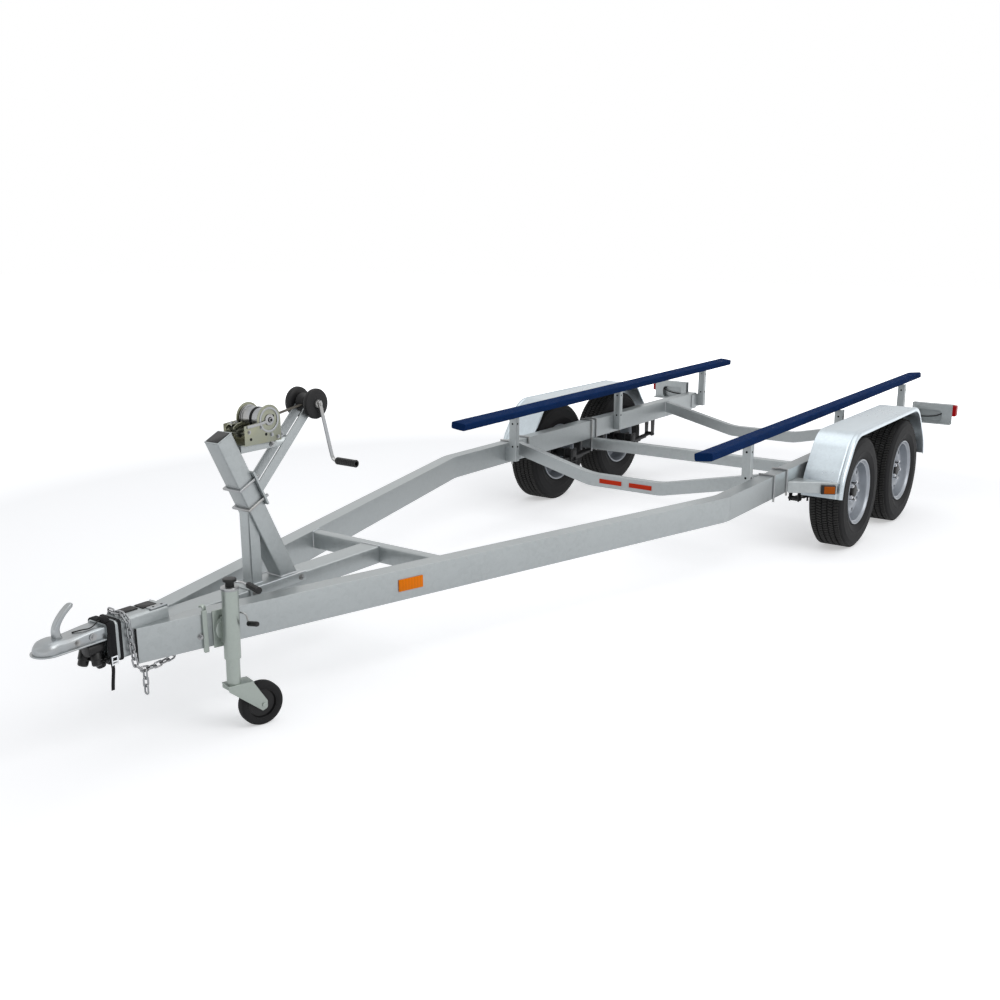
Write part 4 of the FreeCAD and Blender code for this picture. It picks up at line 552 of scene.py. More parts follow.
def ramped(count, *stops):
    """Pairs for a count of places, straight between stops."""
    found = []
    for index in range(count):
        share = index / (count - 1) * (len(stops) - 1)
        low = min(int(share), len(stops) - 2)
        found.append(tuple(a + (b - a) * (share - low)
                           for a, b in zip(stops[low], stops[low + 1])))
    return found


def tube(bm, points, radius, sides=10, up=(0, 0, 1), steps=6):
    """A round wire through points."""
    swept(bm, smooth_line(points, steps), round_outline(radius, sides), up)


def round_outline(radius, sides):
    turns = [math.tau * index / sides for index in range(sides)]
    return [(radius * math.cos(turn), radius * math.sin(turn)) for turn in turns]


def turned(name, finish, frame, profile, steps, body="chassis", crisp=30.0, base=LEVEL, replaces=(),
           closed=False):
    """A piece of one profile turned about a frame's Z."""
    bm = bmesh.new()
    lathe(bm, profile, steps, frame, closed)
    return piece_from(bm, name, finish, body, crisp, base, replaces)


# Shapes that repeat
class Copies:
    """A geometry node tree that sets one shape on every point of a mesh."""

    def __init__(self, name):
        self.tree = bpy.data.node_groups.new(name, "GeometryNodeTree")
        for way in ("INPUT", "OUTPUT"):
            self.tree.interface.new_socket("Geometry", in_out=way,
                                           socket_type="NodeSocketGeometry")
        self.start = self.tree.nodes.new("NodeGroupInput")
        self.sizes = []
        self.finish = None

    def size(self, name, value, kind="NodeSocketFloat"):
        item = self.tree.interface.new_socket(name, in_out="INPUT", socket_type=kind)
        item.default_value = value
        self.sizes.append((item.identifier, value))
        return self.start.outputs[name]

    def node(self, kind, settings, inputs, output=0):
        made = self.tree.nodes.new(kind)
        for key, value in settings.items():
            setattr(made, key, value)
        for key, value in inputs.items():
            if isinstance(value, bpy.types.NodeSocket):
                self.tree.links.new(value, made.inputs[key])
            else:
                made.inputs[key].default_value = value
        return made.outputs[output]

    def joined(self, *shapes):
        made = self.tree.nodes.new("GeometryNodeJoinGeometry")
        for shape in shapes:
            self.tree.links.new(shape, made.inputs[0])
        return made.outputs[0]

    def end(self, shape, finish):
        """Sets the shape on each point, makes the copies real and gives them their finish."""
        self.finish = finish
        turn = self.node("GeometryNodeInputNamedAttribute", {"data_type": "FLOAT_VECTOR"},
                         {"Name": "turn"})
        spin = self.node("FunctionNodeEulerToRotation", {}, {0: turn})
        copies = self.node("GeometryNodeInstanceOnPoints", {},
                           {"Points": self.start.outputs["Geometry"], "Instance": shape,
                            "Rotation": spin})
        real = self.node("GeometryNodeRealizeInstances", {}, {0: copies})
        painted_shape = self.node("GeometryNodeSetMaterial", {},
                                  {"Geometry": real, "Material": MATERIALS[finish]})
        end = self.tree.nodes.new("NodeGroupOutput")
        self.tree.links.new(painted_shape, end.inputs[0])
        return self


def bolts(finish, head=0.0095, reach=0.007, washer=0.013, washer_reach=0.0018, stud=0.005,
          stud_reach=0.012):
    """Hexagon heads on washers with the stud's end through them. Sizes are in metres."""
    copies = Copies("bolts")
    parts = [copies.node("GeometryNodeMeshCylinder", {}, {
        "Vertices": sides, "Radius": copies.size(word + " radius", radius),
        "Depth": copies.size(word + " depth", 2 * depth)})
        for word, sides, radius, depth in (
            ("Head", 6, head, reach), ("Washer", 18, washer, washer_reach),
            ("Stud", 10, stud, stud_reach))]
    return copies.end(copies.joined(*parts), finish)


def plain(word, finish, kind, fixed, **sizes):
    """Copies of one plain solid, whose sizes are inputs of its tree."""
    copies = Copies(word)
    inputs = {name: copies.size(name, value, "NodeSocketFloat" if isinstance(value, float)
                                else "NodeSocketVector") for name, value in sizes.items()}
    return copies.end(copies.node(kind, {}, {**fixed, **inputs}), finish)


def discs(finish, radius, depth=0.0004):
    return plain("discs", finish, "GeometryNodeMeshCylinder", {"Vertices": 20}, Radius=radius,
                 Depth=2 * depth)


def links(finish, length=0.0353, width=0.0178, wire=0.0034):
    """Chain links of round wire, drawn along X."""
    copies = Copies("links")
    path = copies.node("GeometryNodeCurvePrimitiveQuadrilateral", {}, {
        "Width": copies.size("Length", length), "Height": copies.size("Width", width)})
    bent = copies.node("GeometryNodeFilletCurve", {"mode": "POLY"}, {
        "Curve": path, "Count": 6, "Limit Radius": True,
        "Radius": copies.size("Bend", width / 2 - 0.0002)})
    section = copies.node("GeometryNodeCurvePrimitiveCircle", {}, {
        "Resolution": 10, "Radius": copies.size("Wire", wire)})
    link = copies.node("GeometryNodeCurveToMesh", {}, {"Curve": bent, "Profile Curve": section})
    return copies.end(link, finish)


def spread(name, copies, spots, body="chassis", crisp=35.0, replaces=()):
    """Sets copies of a shape at frames in millimetres, and makes them one plain piece."""
    points = bpy.data.meshes.new(name + "_points")
    placed = [LEVEL @ spot for spot in spots]
    points.from_pydata([tuple(spot.translation) for spot in placed], [], [])
    turns = points.attributes.new("turn", "FLOAT_VECTOR", "POINT")
    for item, spot in zip(turns.data, placed):
        item.vector = spot.to_quaternion().to_euler()
    source = bpy.data.objects.new(name + "_source", points)
    bpy.context.scene.collection.objects.link(source)
    modifier = source.modifiers.new("copies", "NODES")
    modifier.node_group = copies.tree
    for identifier, value in copies.sizes:
        modifier[identifier] = value
    depsgraph = bpy.context.evaluated_depsgraph_get()
    mesh = bpy.data.meshes.new_from_object(source.evaluated_get(depsgraph), depsgraph=depsgraph)
    source.modifiers.clear()
    bpy.data.objects.remove(source)
    mesh.name = name
    return finish_mesh(name, mesh, copies.finish, body, crisp, replaces)


def islands(node):
    """The points of each closed solid of a node, in the level trailer's millimetres.
    They come in the same order each time."""
    bm = bmesh.new()
    bm.from_mesh(CAD[node].data)
    bmesh.ops.remove_doubles(bm, verts=bm.verts, dist=SAME_POINT)
    back = LEVEL.inverted()
    seen = set()
    found = []
    for first in bm.verts:
        if first in seen:
            continue
        seen.add(first)
        group = [first]
        for vert in group:
            for edge in vert.link_edges:
                other = edge.other_vert(vert)
                if other not in seen:
                    seen.add(other)
                    group.append(other)
        found.append([back @ vert.co for vert in group])
    bm.free()
    return sorted(found, key=lambda points: [round(value, 2) for value in points_box(points)[0]])


def points_box(points):
    low = Vector([min(point[axis] for point in points) for axis in range(3)])
    high = Vector([max(point[axis] for point in points) for axis in range(3)])
    return low, high


def brick(bm, low, high):
    """A plain block between two corners."""
    flat = ((low[0], low[1]), (high[0], low[1]), (high[0], high[1]), (low[0], high[1]))
    loft(bm, [[Vector((x, y, z)) for x, y in flat] for z in (low[2], high[2])])


def cut_away(bm, cutter):
    """The first form without the second. Both are used up."""
    pair = []
    for word, form in (("whole", bm), ("cutter", cutter)):
        bmesh.ops.recalc_face_normals(form, faces=form.faces)
        thing = bpy.data.objects.new(word, as_mesh(form, word))
        bpy.context.scene.collection.objects.link(thing)
        pair.append(thing)
    whole, tool = pair
    modifier = whole.modifiers.new("cut", "BOOLEAN")
    modifier.object = tool
    modifier.operation = "DIFFERENCE"
    modifier.solver = "EXACT"
    depsgraph = bpy.context.evaluated_depsgraph_get()
    mesh = bpy.data.meshes.new_from_object(whole.evaluated_get(depsgraph), depsgraph=depsgraph)
    result = bmesh.new()
    result.from_mesh(mesh)
    whole.modifiers.clear()
    for thing in pair:
        bpy.data.objects.remove(thing)
    return result


# Settings
class TrailerLook(bpy.types.PropertyGroup):
    steel: bpy.props.FloatVectorProperty(name="Steel", description="Shade of the galvanised frame",
                                         default=(0.375, 0.40, 0.405), subtype="COLOR", size=3)
    sheet: bpy.props.FloatVectorProperty(name="Fender sheet", description="Shade of the fenders",
                                         default=(0.49, 0.545, 0.58), subtype="COLOR", size=3)
    jack: bpy.props.FloatVectorProperty(name="Jack", description="Shade of the jack",
                                        default=(0.36, 0.40, 0.37), subtype="COLOR", size=3)
    carpet: bpy.props.FloatVectorProperty(name="Bunk carpet", description="Shade of the carpet",
                                          default=(0.0012, 0.017, 0.076), subtype="COLOR", size=3)
    corner: bpy.props.FloatProperty(name="Tube corner", description="Round of the frame's corners",
                                    default=0.0055, min=0.0, unit="LENGTH")
    treads: bpy.props.IntProperty(name="Tread blocks", description="Blocks in each row of a tyre",
                                  default=120, min=8)
    vents: bpy.props.IntProperty(name="Wheel vents", description="Round holes in a wheel's face",
                                 default=8, min=3)


class StageSetup(bpy.types.PropertyGroup):
    lens: bpy.props.FloatProperty(name="Lens", description="Focal length in millimetres",
                                  default=39.4367)
    key: bpy.props.FloatProperty(name="Main light", description="Power of the main softbox",
                                 default=150.0)


# Stage
CAMERA_SPOT = (6.825067, 3.131287, 1.869530)
CAMERA_YAW, CAMERA_PITCH, CAMERA_ROLL = -144.1923, -13.8732, -0.1540
SKY_STRENGTH = 0.41
FLOOR_REACH = 60.0
FLOOR_GLOW = 0.44


def make_camera(scene, lens_mm):
    """The photograph's viewpoint, found in the level trailer's frame."""
    yaw, pitch, roll = (math.radians(angle)
                        for angle in (CAMERA_YAW, CAMERA_PITCH, CAMERA_ROLL))
    ahead = Vector((math.cos(yaw) * math.cos(pitch), math.sin(yaw) * math.cos(pitch),
                    math.sin(pitch)))
    right = Vector((math.sin(yaw), -math.cos(yaw), 0))
    up = right.cross(ahead)
    turned_right = right * math.cos(roll) + up * math.sin(roll)
    turned_up = up * math.cos(roll) - right * math.sin(roll)
    basis = Matrix((turned_right, turned_up, -ahead)).transposed().to_4x4()
    data = bpy.data.cameras.new("photo_camera")
    data.sensor_width = 36.0
    data.lens = lens_mm
    data.clip_end = 200.0
    camera = bpy.data.objects.new("photo_camera", data)
    scene.collection.objects.link(camera)
    camera.matrix_world = STANCE @ Matrix.Translation(CAMERA_SPOT) @ basis
    scene.camera = camera


def make_world(scene):
    """White where it is seen, and a plain soft sky as light."""
    scene.world = bpy.data.worlds.new("studio")
    s = Shader("studio", scene.world)
    sky = s.node("ShaderNodeBackground", {}, {"Color": (0.93, 0.96, 1.0),
                                              "Strength": SKY_STRENGTH})
    white = s.node("ShaderNodeBackground", {}, {"Color": (1, 1, 1)})
    shown = s.node("ShaderNodeMixShader", {}, {0: s.seen(), 1: sky, 2: white})
    s.node("ShaderNodeOutputWorld", {}, {"Surface": shown})


def make_floor():
    """A white floor that keeps the trailer's shadow and meets the white behind it."""
    bm = bmesh.new()
    for x, y in ((-1, -1), (1, -1), (1, 1), (-1, 1)):
        bm.verts.new((x * FLOOR_REACH, y * FLOOR_REACH, 0.0))
    bm.faces.new(bm.verts)
    mesh = as_mesh(bm, "floor")
    s = Shader("floor_white")
    paper = s.node("ShaderNodeBsdfDiffuse", {}, {"Color": (0.80, 0.80, 0.81)})
    reach = s.node("ShaderNodeVectorMath", {"operation": "LENGTH"}, {0: s.place()}, 1)
    glow = s.node("ShaderNodeEmission", {}, {"Color": (1, 1, 1),
                                             "Strength": FLOOR_GLOW + reach.clamped(4.0, 9.0)})
    lit = s.node("ShaderNodeAddShader", {}, {0: paper, 1: glow})
    shown = s.node("ShaderNodeMixShader", {}, {0: s.seen(), 1: paper, 2: lit})
    s.node("ShaderNodeOutputMaterial", {}, {"Surface": shown})
    mesh.materials.append(s.material)
    floor = bpy.data.objects.new("floor", mesh)
    bpy.context.scene.collection.objects.link(floor)


def make_lights(setup):
    for name, place, size, power in (
            ("key", (1.5, 5.2, 5.2), 4.5, setup.key * 1.25),
            ("fill", (6.5, -3.5, 4.0), 5.0, setup.key * 0.13),
            ("top", (-1.0, 0.0, 6.5), 7.0, setup.key * 0.8)):
        data = bpy.data.lights.new(name, "AREA")
        data.size = size
        data.energy = power
        lamp = bpy.data.objects.new(name, data)
        bpy.context.scene.collection.objects.link(lamp)
        lamp.location = place
        lamp.rotation_mode = "QUATERNION"
        lamp.rotation_quaternion = (Vector((0, 0, 0.4)) - Vector(place)).to_track_quat("-Z", "Y")


class TRAILER_OT_stage(bpy.types.Operator):
    """Floor, backdrop, lights and camera"""
    bl_idname = "trailer.stage"
    bl_label = "Stage"

    def execute(self, context):
        setup = context.scene.trailer_stage
        context.scene.view_settings.view_transform = "Standard"
        make_camera(context.scene, setup.lens)
        make_world(context.scene)
        make_floor()
        make_lights(setup)
        return {"FINISHED"}


# Groups of the trailer
SIDES = ((1, "left"), (-1, "right"))


class TRAILER_OT_frame(bpy.types.Operator):
    """Galvanised rails, tongue, cross members and their U-bolts"""
    bl_idname = "trailer.frame"
    bl_label = "Frame"

    def execute(self, context):
        corner = context.scene.trailer_look.corner
        for node in ("rail_left", "rail_right", "tongue_tube", "drawbar_head"):
            rounded_copy(node + "_rounded", node, "steel", corner, 0.15, 3)
        for node in ("front_brace", "cross_member_front", "cross_member_middle",
                     "cross_member_rear"):
            rounded_copy(node + "_rounded", node, "steel", corner * 0.8, 0.1)
        rounded_copy("rail_u_bolts_rounded", "rail_u_bolts", "bolt", 0.002)
        return {"FINISHED"}


HOLE_DROPS = (44, 190)


class TRAILER_OT_posts(bpy.types.Operator):
    """Channel posts under the bunks, with dark discs as painted shade in their bolt holes"""
    bl_idname = "trailer.posts"
    bl_label = "Bunk posts"

    def execute(self, context):
        rounded_copy("bunk_posts_rounded", "bunk_posts", "steel", 0.0025, 0.08)
        spots = []
        for points in islands("bunk_posts"):
            low, high = points_box(points)
            inner, outer = points_box([point for point in points if point.z > high.z - 25])
            middle = (inner + outer) / 2
            for z in (high.z - drop for drop in HOLE_DROPS if high.z - drop > low.z + 30):
                spots.append(aimed((outer.x, middle.y, z), (1, 0, 0)))
                spots += [aimed((middle.x, face, z), (0, side, 0))
                          for face, side in ((outer.y, 1), (inner.y, -1))]
        # Painted shade: a dark disc on each face where a bolt hole is.
        spread("post_holes", discs("hole", 0.0065), spots)
        return {"FINISHED"}


BUNK_TILT = math.radians(6.0)
BUNK_WIDE, BUNK_THICK = 50.5, 20.5
BUNK_RINGS = 260


def bunk_frame(node):
    """A bunk's frame at its rear end, with Z along it and X across its width, and its length."""
    points = islands(node)[0]
    low, high = points_box(points)
    ends = []
    for x in (low.x, high.x):
        near = [point for point in points if abs(point.x - x) < 30]
        ends.append(sum(near, Vector()) / len(near))
    ahead = (ends[1] - ends[0]).normalized()
    tilt = BUNK_TILT * (1 if ends[0].y > 0 else -1)
    across = Vector((0, math.cos(tilt), math.sin(tilt)))
    turn = Matrix((across, ahead.cross(across), ahead)).transposed().to_4x4()
    return Matrix.Translation(ends[0]) @ turn, (ends[1] - ends[0]).length


class TRAILER_OT_bunks(bpy.types.Operator):
    """Padded planks wrapped in carpet, folded in at their ends"""
    bl_idname = "trailer.bunks"
    bl_label = "Bunks"

    def execute(self, context):
        outline = box_outline(BUNK_WIDE, BUNK_THICK, 9)
        dense = []
        for here, after in zip(outline, outline[1:] + outline[:1]):
            parts = max(1, round((after - here).length / 9))
            dense += [here.lerp(after, part / parts) for part in range(parts)]
        for node in ("bunk_left", "bunk_right"):
            frame, length = bunk_frame(node)
            bm = bmesh.new()
            loft(bm, [self.ring(dense, frame, length, index)
                      for index in range(-3, BUNK_RINGS + 4)])
            piece = piece_from(bm, node + "_carpet", "carpet", crisp=60.0, replaces=[node])
        return {"FINISHED"}

    def ring(self, outline, frame, length, index):
        """One ring of the carpet with its soft swell. The rings past the ends fold in."""
        shrink = (1.0, 0.965, 0.90, 0.6)[max(-index, index - BUNK_RINGS, 0)]
        along = length * min(max(index / BUNK_RINGS, 0), 1)
        found = []
        for x, y in outline:
            soft = noise.noise(Vector((x * 0.03, y * 0.03, along * 0.012)))
            pile = noise.noise(Vector((x * 0.12, y * 0.12, along * 0.09)) + Vector((7, 3, 1)))
            crown = 1.2 * (1 - (x / BUNK_WIDE) ** 2) * (y / BUNK_THICK)
            outward = Vector((x / BUNK_WIDE, y / BUNK_THICK, 0)).normalized()
            found.append(frame @ (Vector((x * shrink, y * shrink, along))
                                  + outward * (0.5 * soft + 0.35 * pile)
                                  + Vector((0, crown, 0)) * shrink))
        return found


class TRAILER_OT_running_gear(bpy.types.Operator):
    """Axles, leaf springs and hangers in black"""
    bl_idname = "trailer.running_gear"
    bl_label = "Running gear"

    def execute(self, context):
        for node in ("axle_front", "axle_rear", "leaf_springs", "spring_hangers"):
            rounded_copy(node + "_rounded", node, "iron", 0.0015)
        return {"FINISHED"}


def mirrored_profile(half):
    """A profile drawn from the middle out, with its other half in front."""
    return [(-along, radius) for along, radius in reversed(half) if along] + list(half)


TYRE_SIDE = [(0, 326.5), (82, 326), (91, 321), (98, 309), (100.5, 303), (102.5, 300), (102.5, 297),
             (102.2, 292), (103.6, 280), (104, 262), (103.4, 250), (104.2, 247), (104.2, 243),
             (102.6, 240), (99.5, 228), (95, 216), (90, 207), (85, 200), (84, 196), (84, 186)]
TREAD_RADIUS = 330.4
TREAD_BLOCK = (0.0112, 0.0255, 0.011)
# Each row's place across the tyre, and the slant of its blocks in degrees
TREAD_ROWS = ((-67, 16), (-33, -14), (0, 14), (33, -14), (67, 16))
RIM_FACE = [(-92, 195), (-84, 195.5), (-84, 185.5), (84, 185.5), (84, 195.5), (92, 195),
            (93.5, 191), (92, 187), (85, 184), (80, 181), (78, 175), (60, 172.5), (36, 171),
            (28, 168), (26, 163), (29, 158), (42, 149), (46, 144), (47.5, 136), (47, 118),
            (45, 107), (41, 101), (24, 92), (17, 88), (15, 83), (15, 37.5), (10, 37.5), (10, 88),
            (36, 105), (40, 114), (41, 136), (38, 143), (22, 157), (17, 165), (10, 175),
            (-40, 179), (-80, 180), (-91, 186), (-93, 190)]
VENT_TOOL = [(10, 0), (10, 11.5), (60, 11.5), (60, 0)]
VENT_CIRCLE = 122
VENT_START = math.radians(13)
NUT_CIRCLE = 57
NUT_SEAT = 15
NUTS = 5
NUT_START = 30
HUB_FORM = [(-74, 17.5), (-74, 58), (-72, 60), (-2, 60), (-2, 79), (0, 80), (9, 80), (9.5, 36),
            (16, 36), (19, 43), (20, 43.5), (24, 43), (56, 41), (63, 39), (67, 34), (69, 24),
            (70, 0)]


class TRAILER_OT_wheels(bpy.types.Operator):
    """Tyres with tread blocks, silver wheels with round vents, black hubs and bright nuts"""
    bl_idname = "trailer.wheels"
    bl_label = "Wheels"

    def execute(self, context):
        look = context.scene.trailer_look
        rim = self.rim_mesh(look.vents)
        block = plain("tread_blocks", "tread", "GeometryNodeMeshCube", {}, Size=TREAD_BLOCK)
        nut = bolts("bright", 0.0125, 0.050, 0.0155, 0.004, 0.0090, 0.056)
        for x_word, x in (("front", AXLE_X), ("rear", -AXLE_X)):
            for side, y_word in SIDES:
                seat = aimed((x, WHEEL_Y * side, WHEEL_HEIGHTS[x_word]), (0, side, 0))
                self.make_wheel(f"wheel_{x_word}_{y_word}", seat, rim, block, nut, look.treads)
        bpy.data.meshes.remove(rim)
        return {"FINISHED"}

    def rim_mesh(self, count):
        """The dished wheel with its round vents cut out."""
        bm = bmesh.new()
        lathe(bm, RIM_FACE, 96, Matrix.Identity(4), True)
        tool = bmesh.new()
        for index in range(count):
            turn = math.tau * index / count + VENT_START
            lathe(tool, VENT_TOOL, 24, Matrix.Translation(on_circle(VENT_CIRCLE, turn)))
        return as_mesh(cut_away(bm, tool), "rim")

    def make_wheel(self, name, seat, rim, block, nut, count):
        turned(name + "_tyre_casing", "tyre", seat, mirrored_profile(TYRE_SIDE), 96, name, 25.0,
               replaces=[name + "_tyre"], closed=True)
        spots = []
        for row, (along, slant) in enumerate(TREAD_ROWS):
            for index in range(count):
                turn = math.tau * (index + 0.5 * (row % 2)) / count
                spots.append(seat @ Matrix.Rotation(turn, 4, "Z")
                             @ Matrix.Translation((TREAD_RADIUS, 0, along)) @ FORWARD
                             @ Matrix.Rotation(math.radians(slant), 4, "Z"))
        spread(name + "_tread", block, spots, name)
        bm = bmesh.new()
        bm.from_mesh(rim)
        bm.transform(seat)
        piece_from(bm, name + "_rim_dished", "rim", name, 32.0, replaces=[name + "_rim"])
        turned(name + "_hub_capped", "black", seat, HUB_FORM, 48, name, replaces=[name + "_hub"])
        spread(name + "_nuts", nut,
               [seat @ Matrix.Translation(on_circle(
                   NUT_CIRCLE, math.radians(360 / NUTS * index + NUT_START), NUT_SEAT))
                for index in range(NUTS)], name)


FENDER_LINE = [(-831, 380), (-815, 480), (-629, 728), (629, 728), (815, 480), (831, 380)]
FENDER_EDGE = [(946, 12), (946, 1), (947, 0), (1146, 0), (1149, 1.6), (1153, 1.8), (1156, -0.6),
               (1162, -2.2), (1170, -2.6), (1176, -1.4), (1180, 1.6), (1182, 6), (1182, 24),
               (1179, 24), (1179, 7), (1176, 4), (1158, 4.4), (1146, 4.4), (949, 3), (949, 12)]


class TRAILER_OT_fenders(bpy.types.Operator):
    """Rolled sheet fenders with a beaded outer edge, their gussets and screws"""
    bl_idname = "trailer.fenders"
    bl_label = "Fenders"

    def execute(self, context):
        line = rounded_outline(FENDER_LINE, {1: 260, 2: 190, 3: 190, 4: 260}, 14)
        for side, word in SIDES:
            rings = []
            for spot, before, after in zip(line, line[:1] + line, line[1:] + line[-1:]):
                ahead = (after - before).normalized()
                rings.append([Vector((spot.x + ahead.y * depth, y * side,
                                      spot.y - ahead.x * depth)) for y, depth in FENDER_EDGE])
            bm = bmesh.new()
            loft(bm, rings)
            piece_from(bm, f"fender_{word}_rolled", "sheet", crisp=28.0,
                       replaces=["fender_" + word])
        rounded_copy("fender_gussets", "fender_brackets", "steel", 0.003, 0.1)
        return {"FINISHED"}


TAIL_WIRE = [(-1470, 1150, 577), (-1462, 1146, 574), (-1455, 1120, 558), (-1456, 1080, 540),
             (-1458, 1020, 531), (-1458, 960, 528), (-1458, 930, 527)]


class TRAILER_OT_lamps(bpy.types.Operator):
    """Tail lamps on their brackets, marker lamps and reflectors"""
    bl_idname = "trailer.lamps"
    bl_label = "Lamps"

    def execute(self, context):
        rounded_copies(("tail_brackets_rounded", "tail_brackets", "steel", 0.002, 0.04),
                       ("tail_lamps_red", "tail_lamps", "red", 0.003, 0.0, 3),
                       ("marker_bases", "side_marker_lamps", "black", 0.003),
                       ("side_reflectors_amber", "side_reflectors", "amber", 0.0018),
                       ("front_strips_red", "front_reflectors", "orange"))
        for side, word in SIDES:
            bm = bmesh.new()
            pad(bm, Matrix.Translation((839.3, 1155 * side, 414))
                @ Matrix.Rotation(math.radians(28.4) * side, 4, "Z")
                @ Matrix.Translation((18.3, -42 * side, 25)) @ FORWARD,
                30, 20.5, 4, ((-2, 0), (1.5, 0), (3.5, 1.2), (4.2, 4)))
            piece_from(bm, f"marker_lens_{word}", "dark_amber", crisp=40.0)
            bm = bmesh.new()
            brick(bm, (-1475, 930 * side, 497), (-1472, 1190 * side, 600))
            brick(bm, (-1478, 930 * side, 494), (-1400, 1196 * side, 497))
            piece_from(bm, f"tail_bracket_back_{word}", "steel")
            bm = bmesh.new()
            tube(bm, [(x, y * side, z) for x, y, z in TAIL_WIRE], 4)
            lathe(bm, [(0, 0), (0, 12), (5, 12), (6, 10), (6, 0)], 20,
                  aimed((-1472, 1152 * side, 578), (1, 0, 0)))
            piece_from(bm, f"tail_wire_{word}", "black", crisp=50.0)
        return {"FINISHED"}


POST_TOP = (4239.6, 0, 1136.6)
POST_LEAN = math.radians(25.5)


class TRAILER_OT_winch_post(bpy.types.Operator):
    """Leaning post with its cap, saddle, stand and clamp bolts"""
    bl_idname = "trailer.winch_post"
    bl_label = "Winch post"

    def execute(self, context):
        corner = context.scene.trailer_look.corner
        rounded_copies(("winch_post_rounded", "winch_post", "steel", corner, 0.2, 3),
                       ("winch_post_saddle_bent", "winch_post_saddle", "steel", 0.003, 0.05),
                       ("winch_stand_rounded", "winch_stand", "steel", 0.0015, 0.02),
                       ("winch_clamps", "winch_clamp_bolts", "bolt", 0.002),
                       ("winch_post_top", "winch_post_cap", "steel"))
        bm = bmesh.new()
        pad(bm, Matrix.Translation(POST_TOP) @ Matrix.Rotation(POST_LEAN, 4, "Y"),
            33, 33, 5, ((-1, 0), (2.0, 0), (3.0, 1.5)))
        piece_from(bm, "winch_post_plug", "black", crisp=40.0)
        return {"FINISHED"}


DRUM = [(-74, 0), (-74, 7), (-73, 8), (-55, 8), (-55, 47), (-54, 48), (-52.5, 48), (-51.5, 47),
        (-51.5, 41), (-48, 41), (-48, 46), (-46.5, 47), (-44, 46), (-44, 43), (-6, 42), (-6, 34),
        (6, 34), (6, 42), (37, 43.5), (45, 43), (45, 47), (46, 48), (48, 48), (49, 47), (49, 8),
        (67, 8), (68, 7), (68, 0)]
WOUND_STRAP = [(-5.7, 34.3), (-5.7, 43.5), (-5, 44.3), (5, 44.3), (5.7, 43.5), (5.7, 34.3)]
BEARING_RING = [(56.2, 9), (56.2, 21), (58, 22), (60.5, 21), (62, 17), (62, 11), (60, 9)]
DRUM_BAND = [(56.2, 40), (56.2, 47), (57.6, 48), (58.4, 46), (58.4, 41), (57.6, 39.5)]
CASE_REAR, CASE_NEAR, CASE_LOW = 4097, 10, 1132
PINION_SPOT = (4130, 0, 1150)
SMALL_PINION_SPOT = (4152, 0, 1140)
PAWL = [(4104, 1168), (4120, 1174), (4146, 1168), (4162, 1158), (4160, 1150), (4144, 1156),
        (4122, 1162), (4106, 1160)]


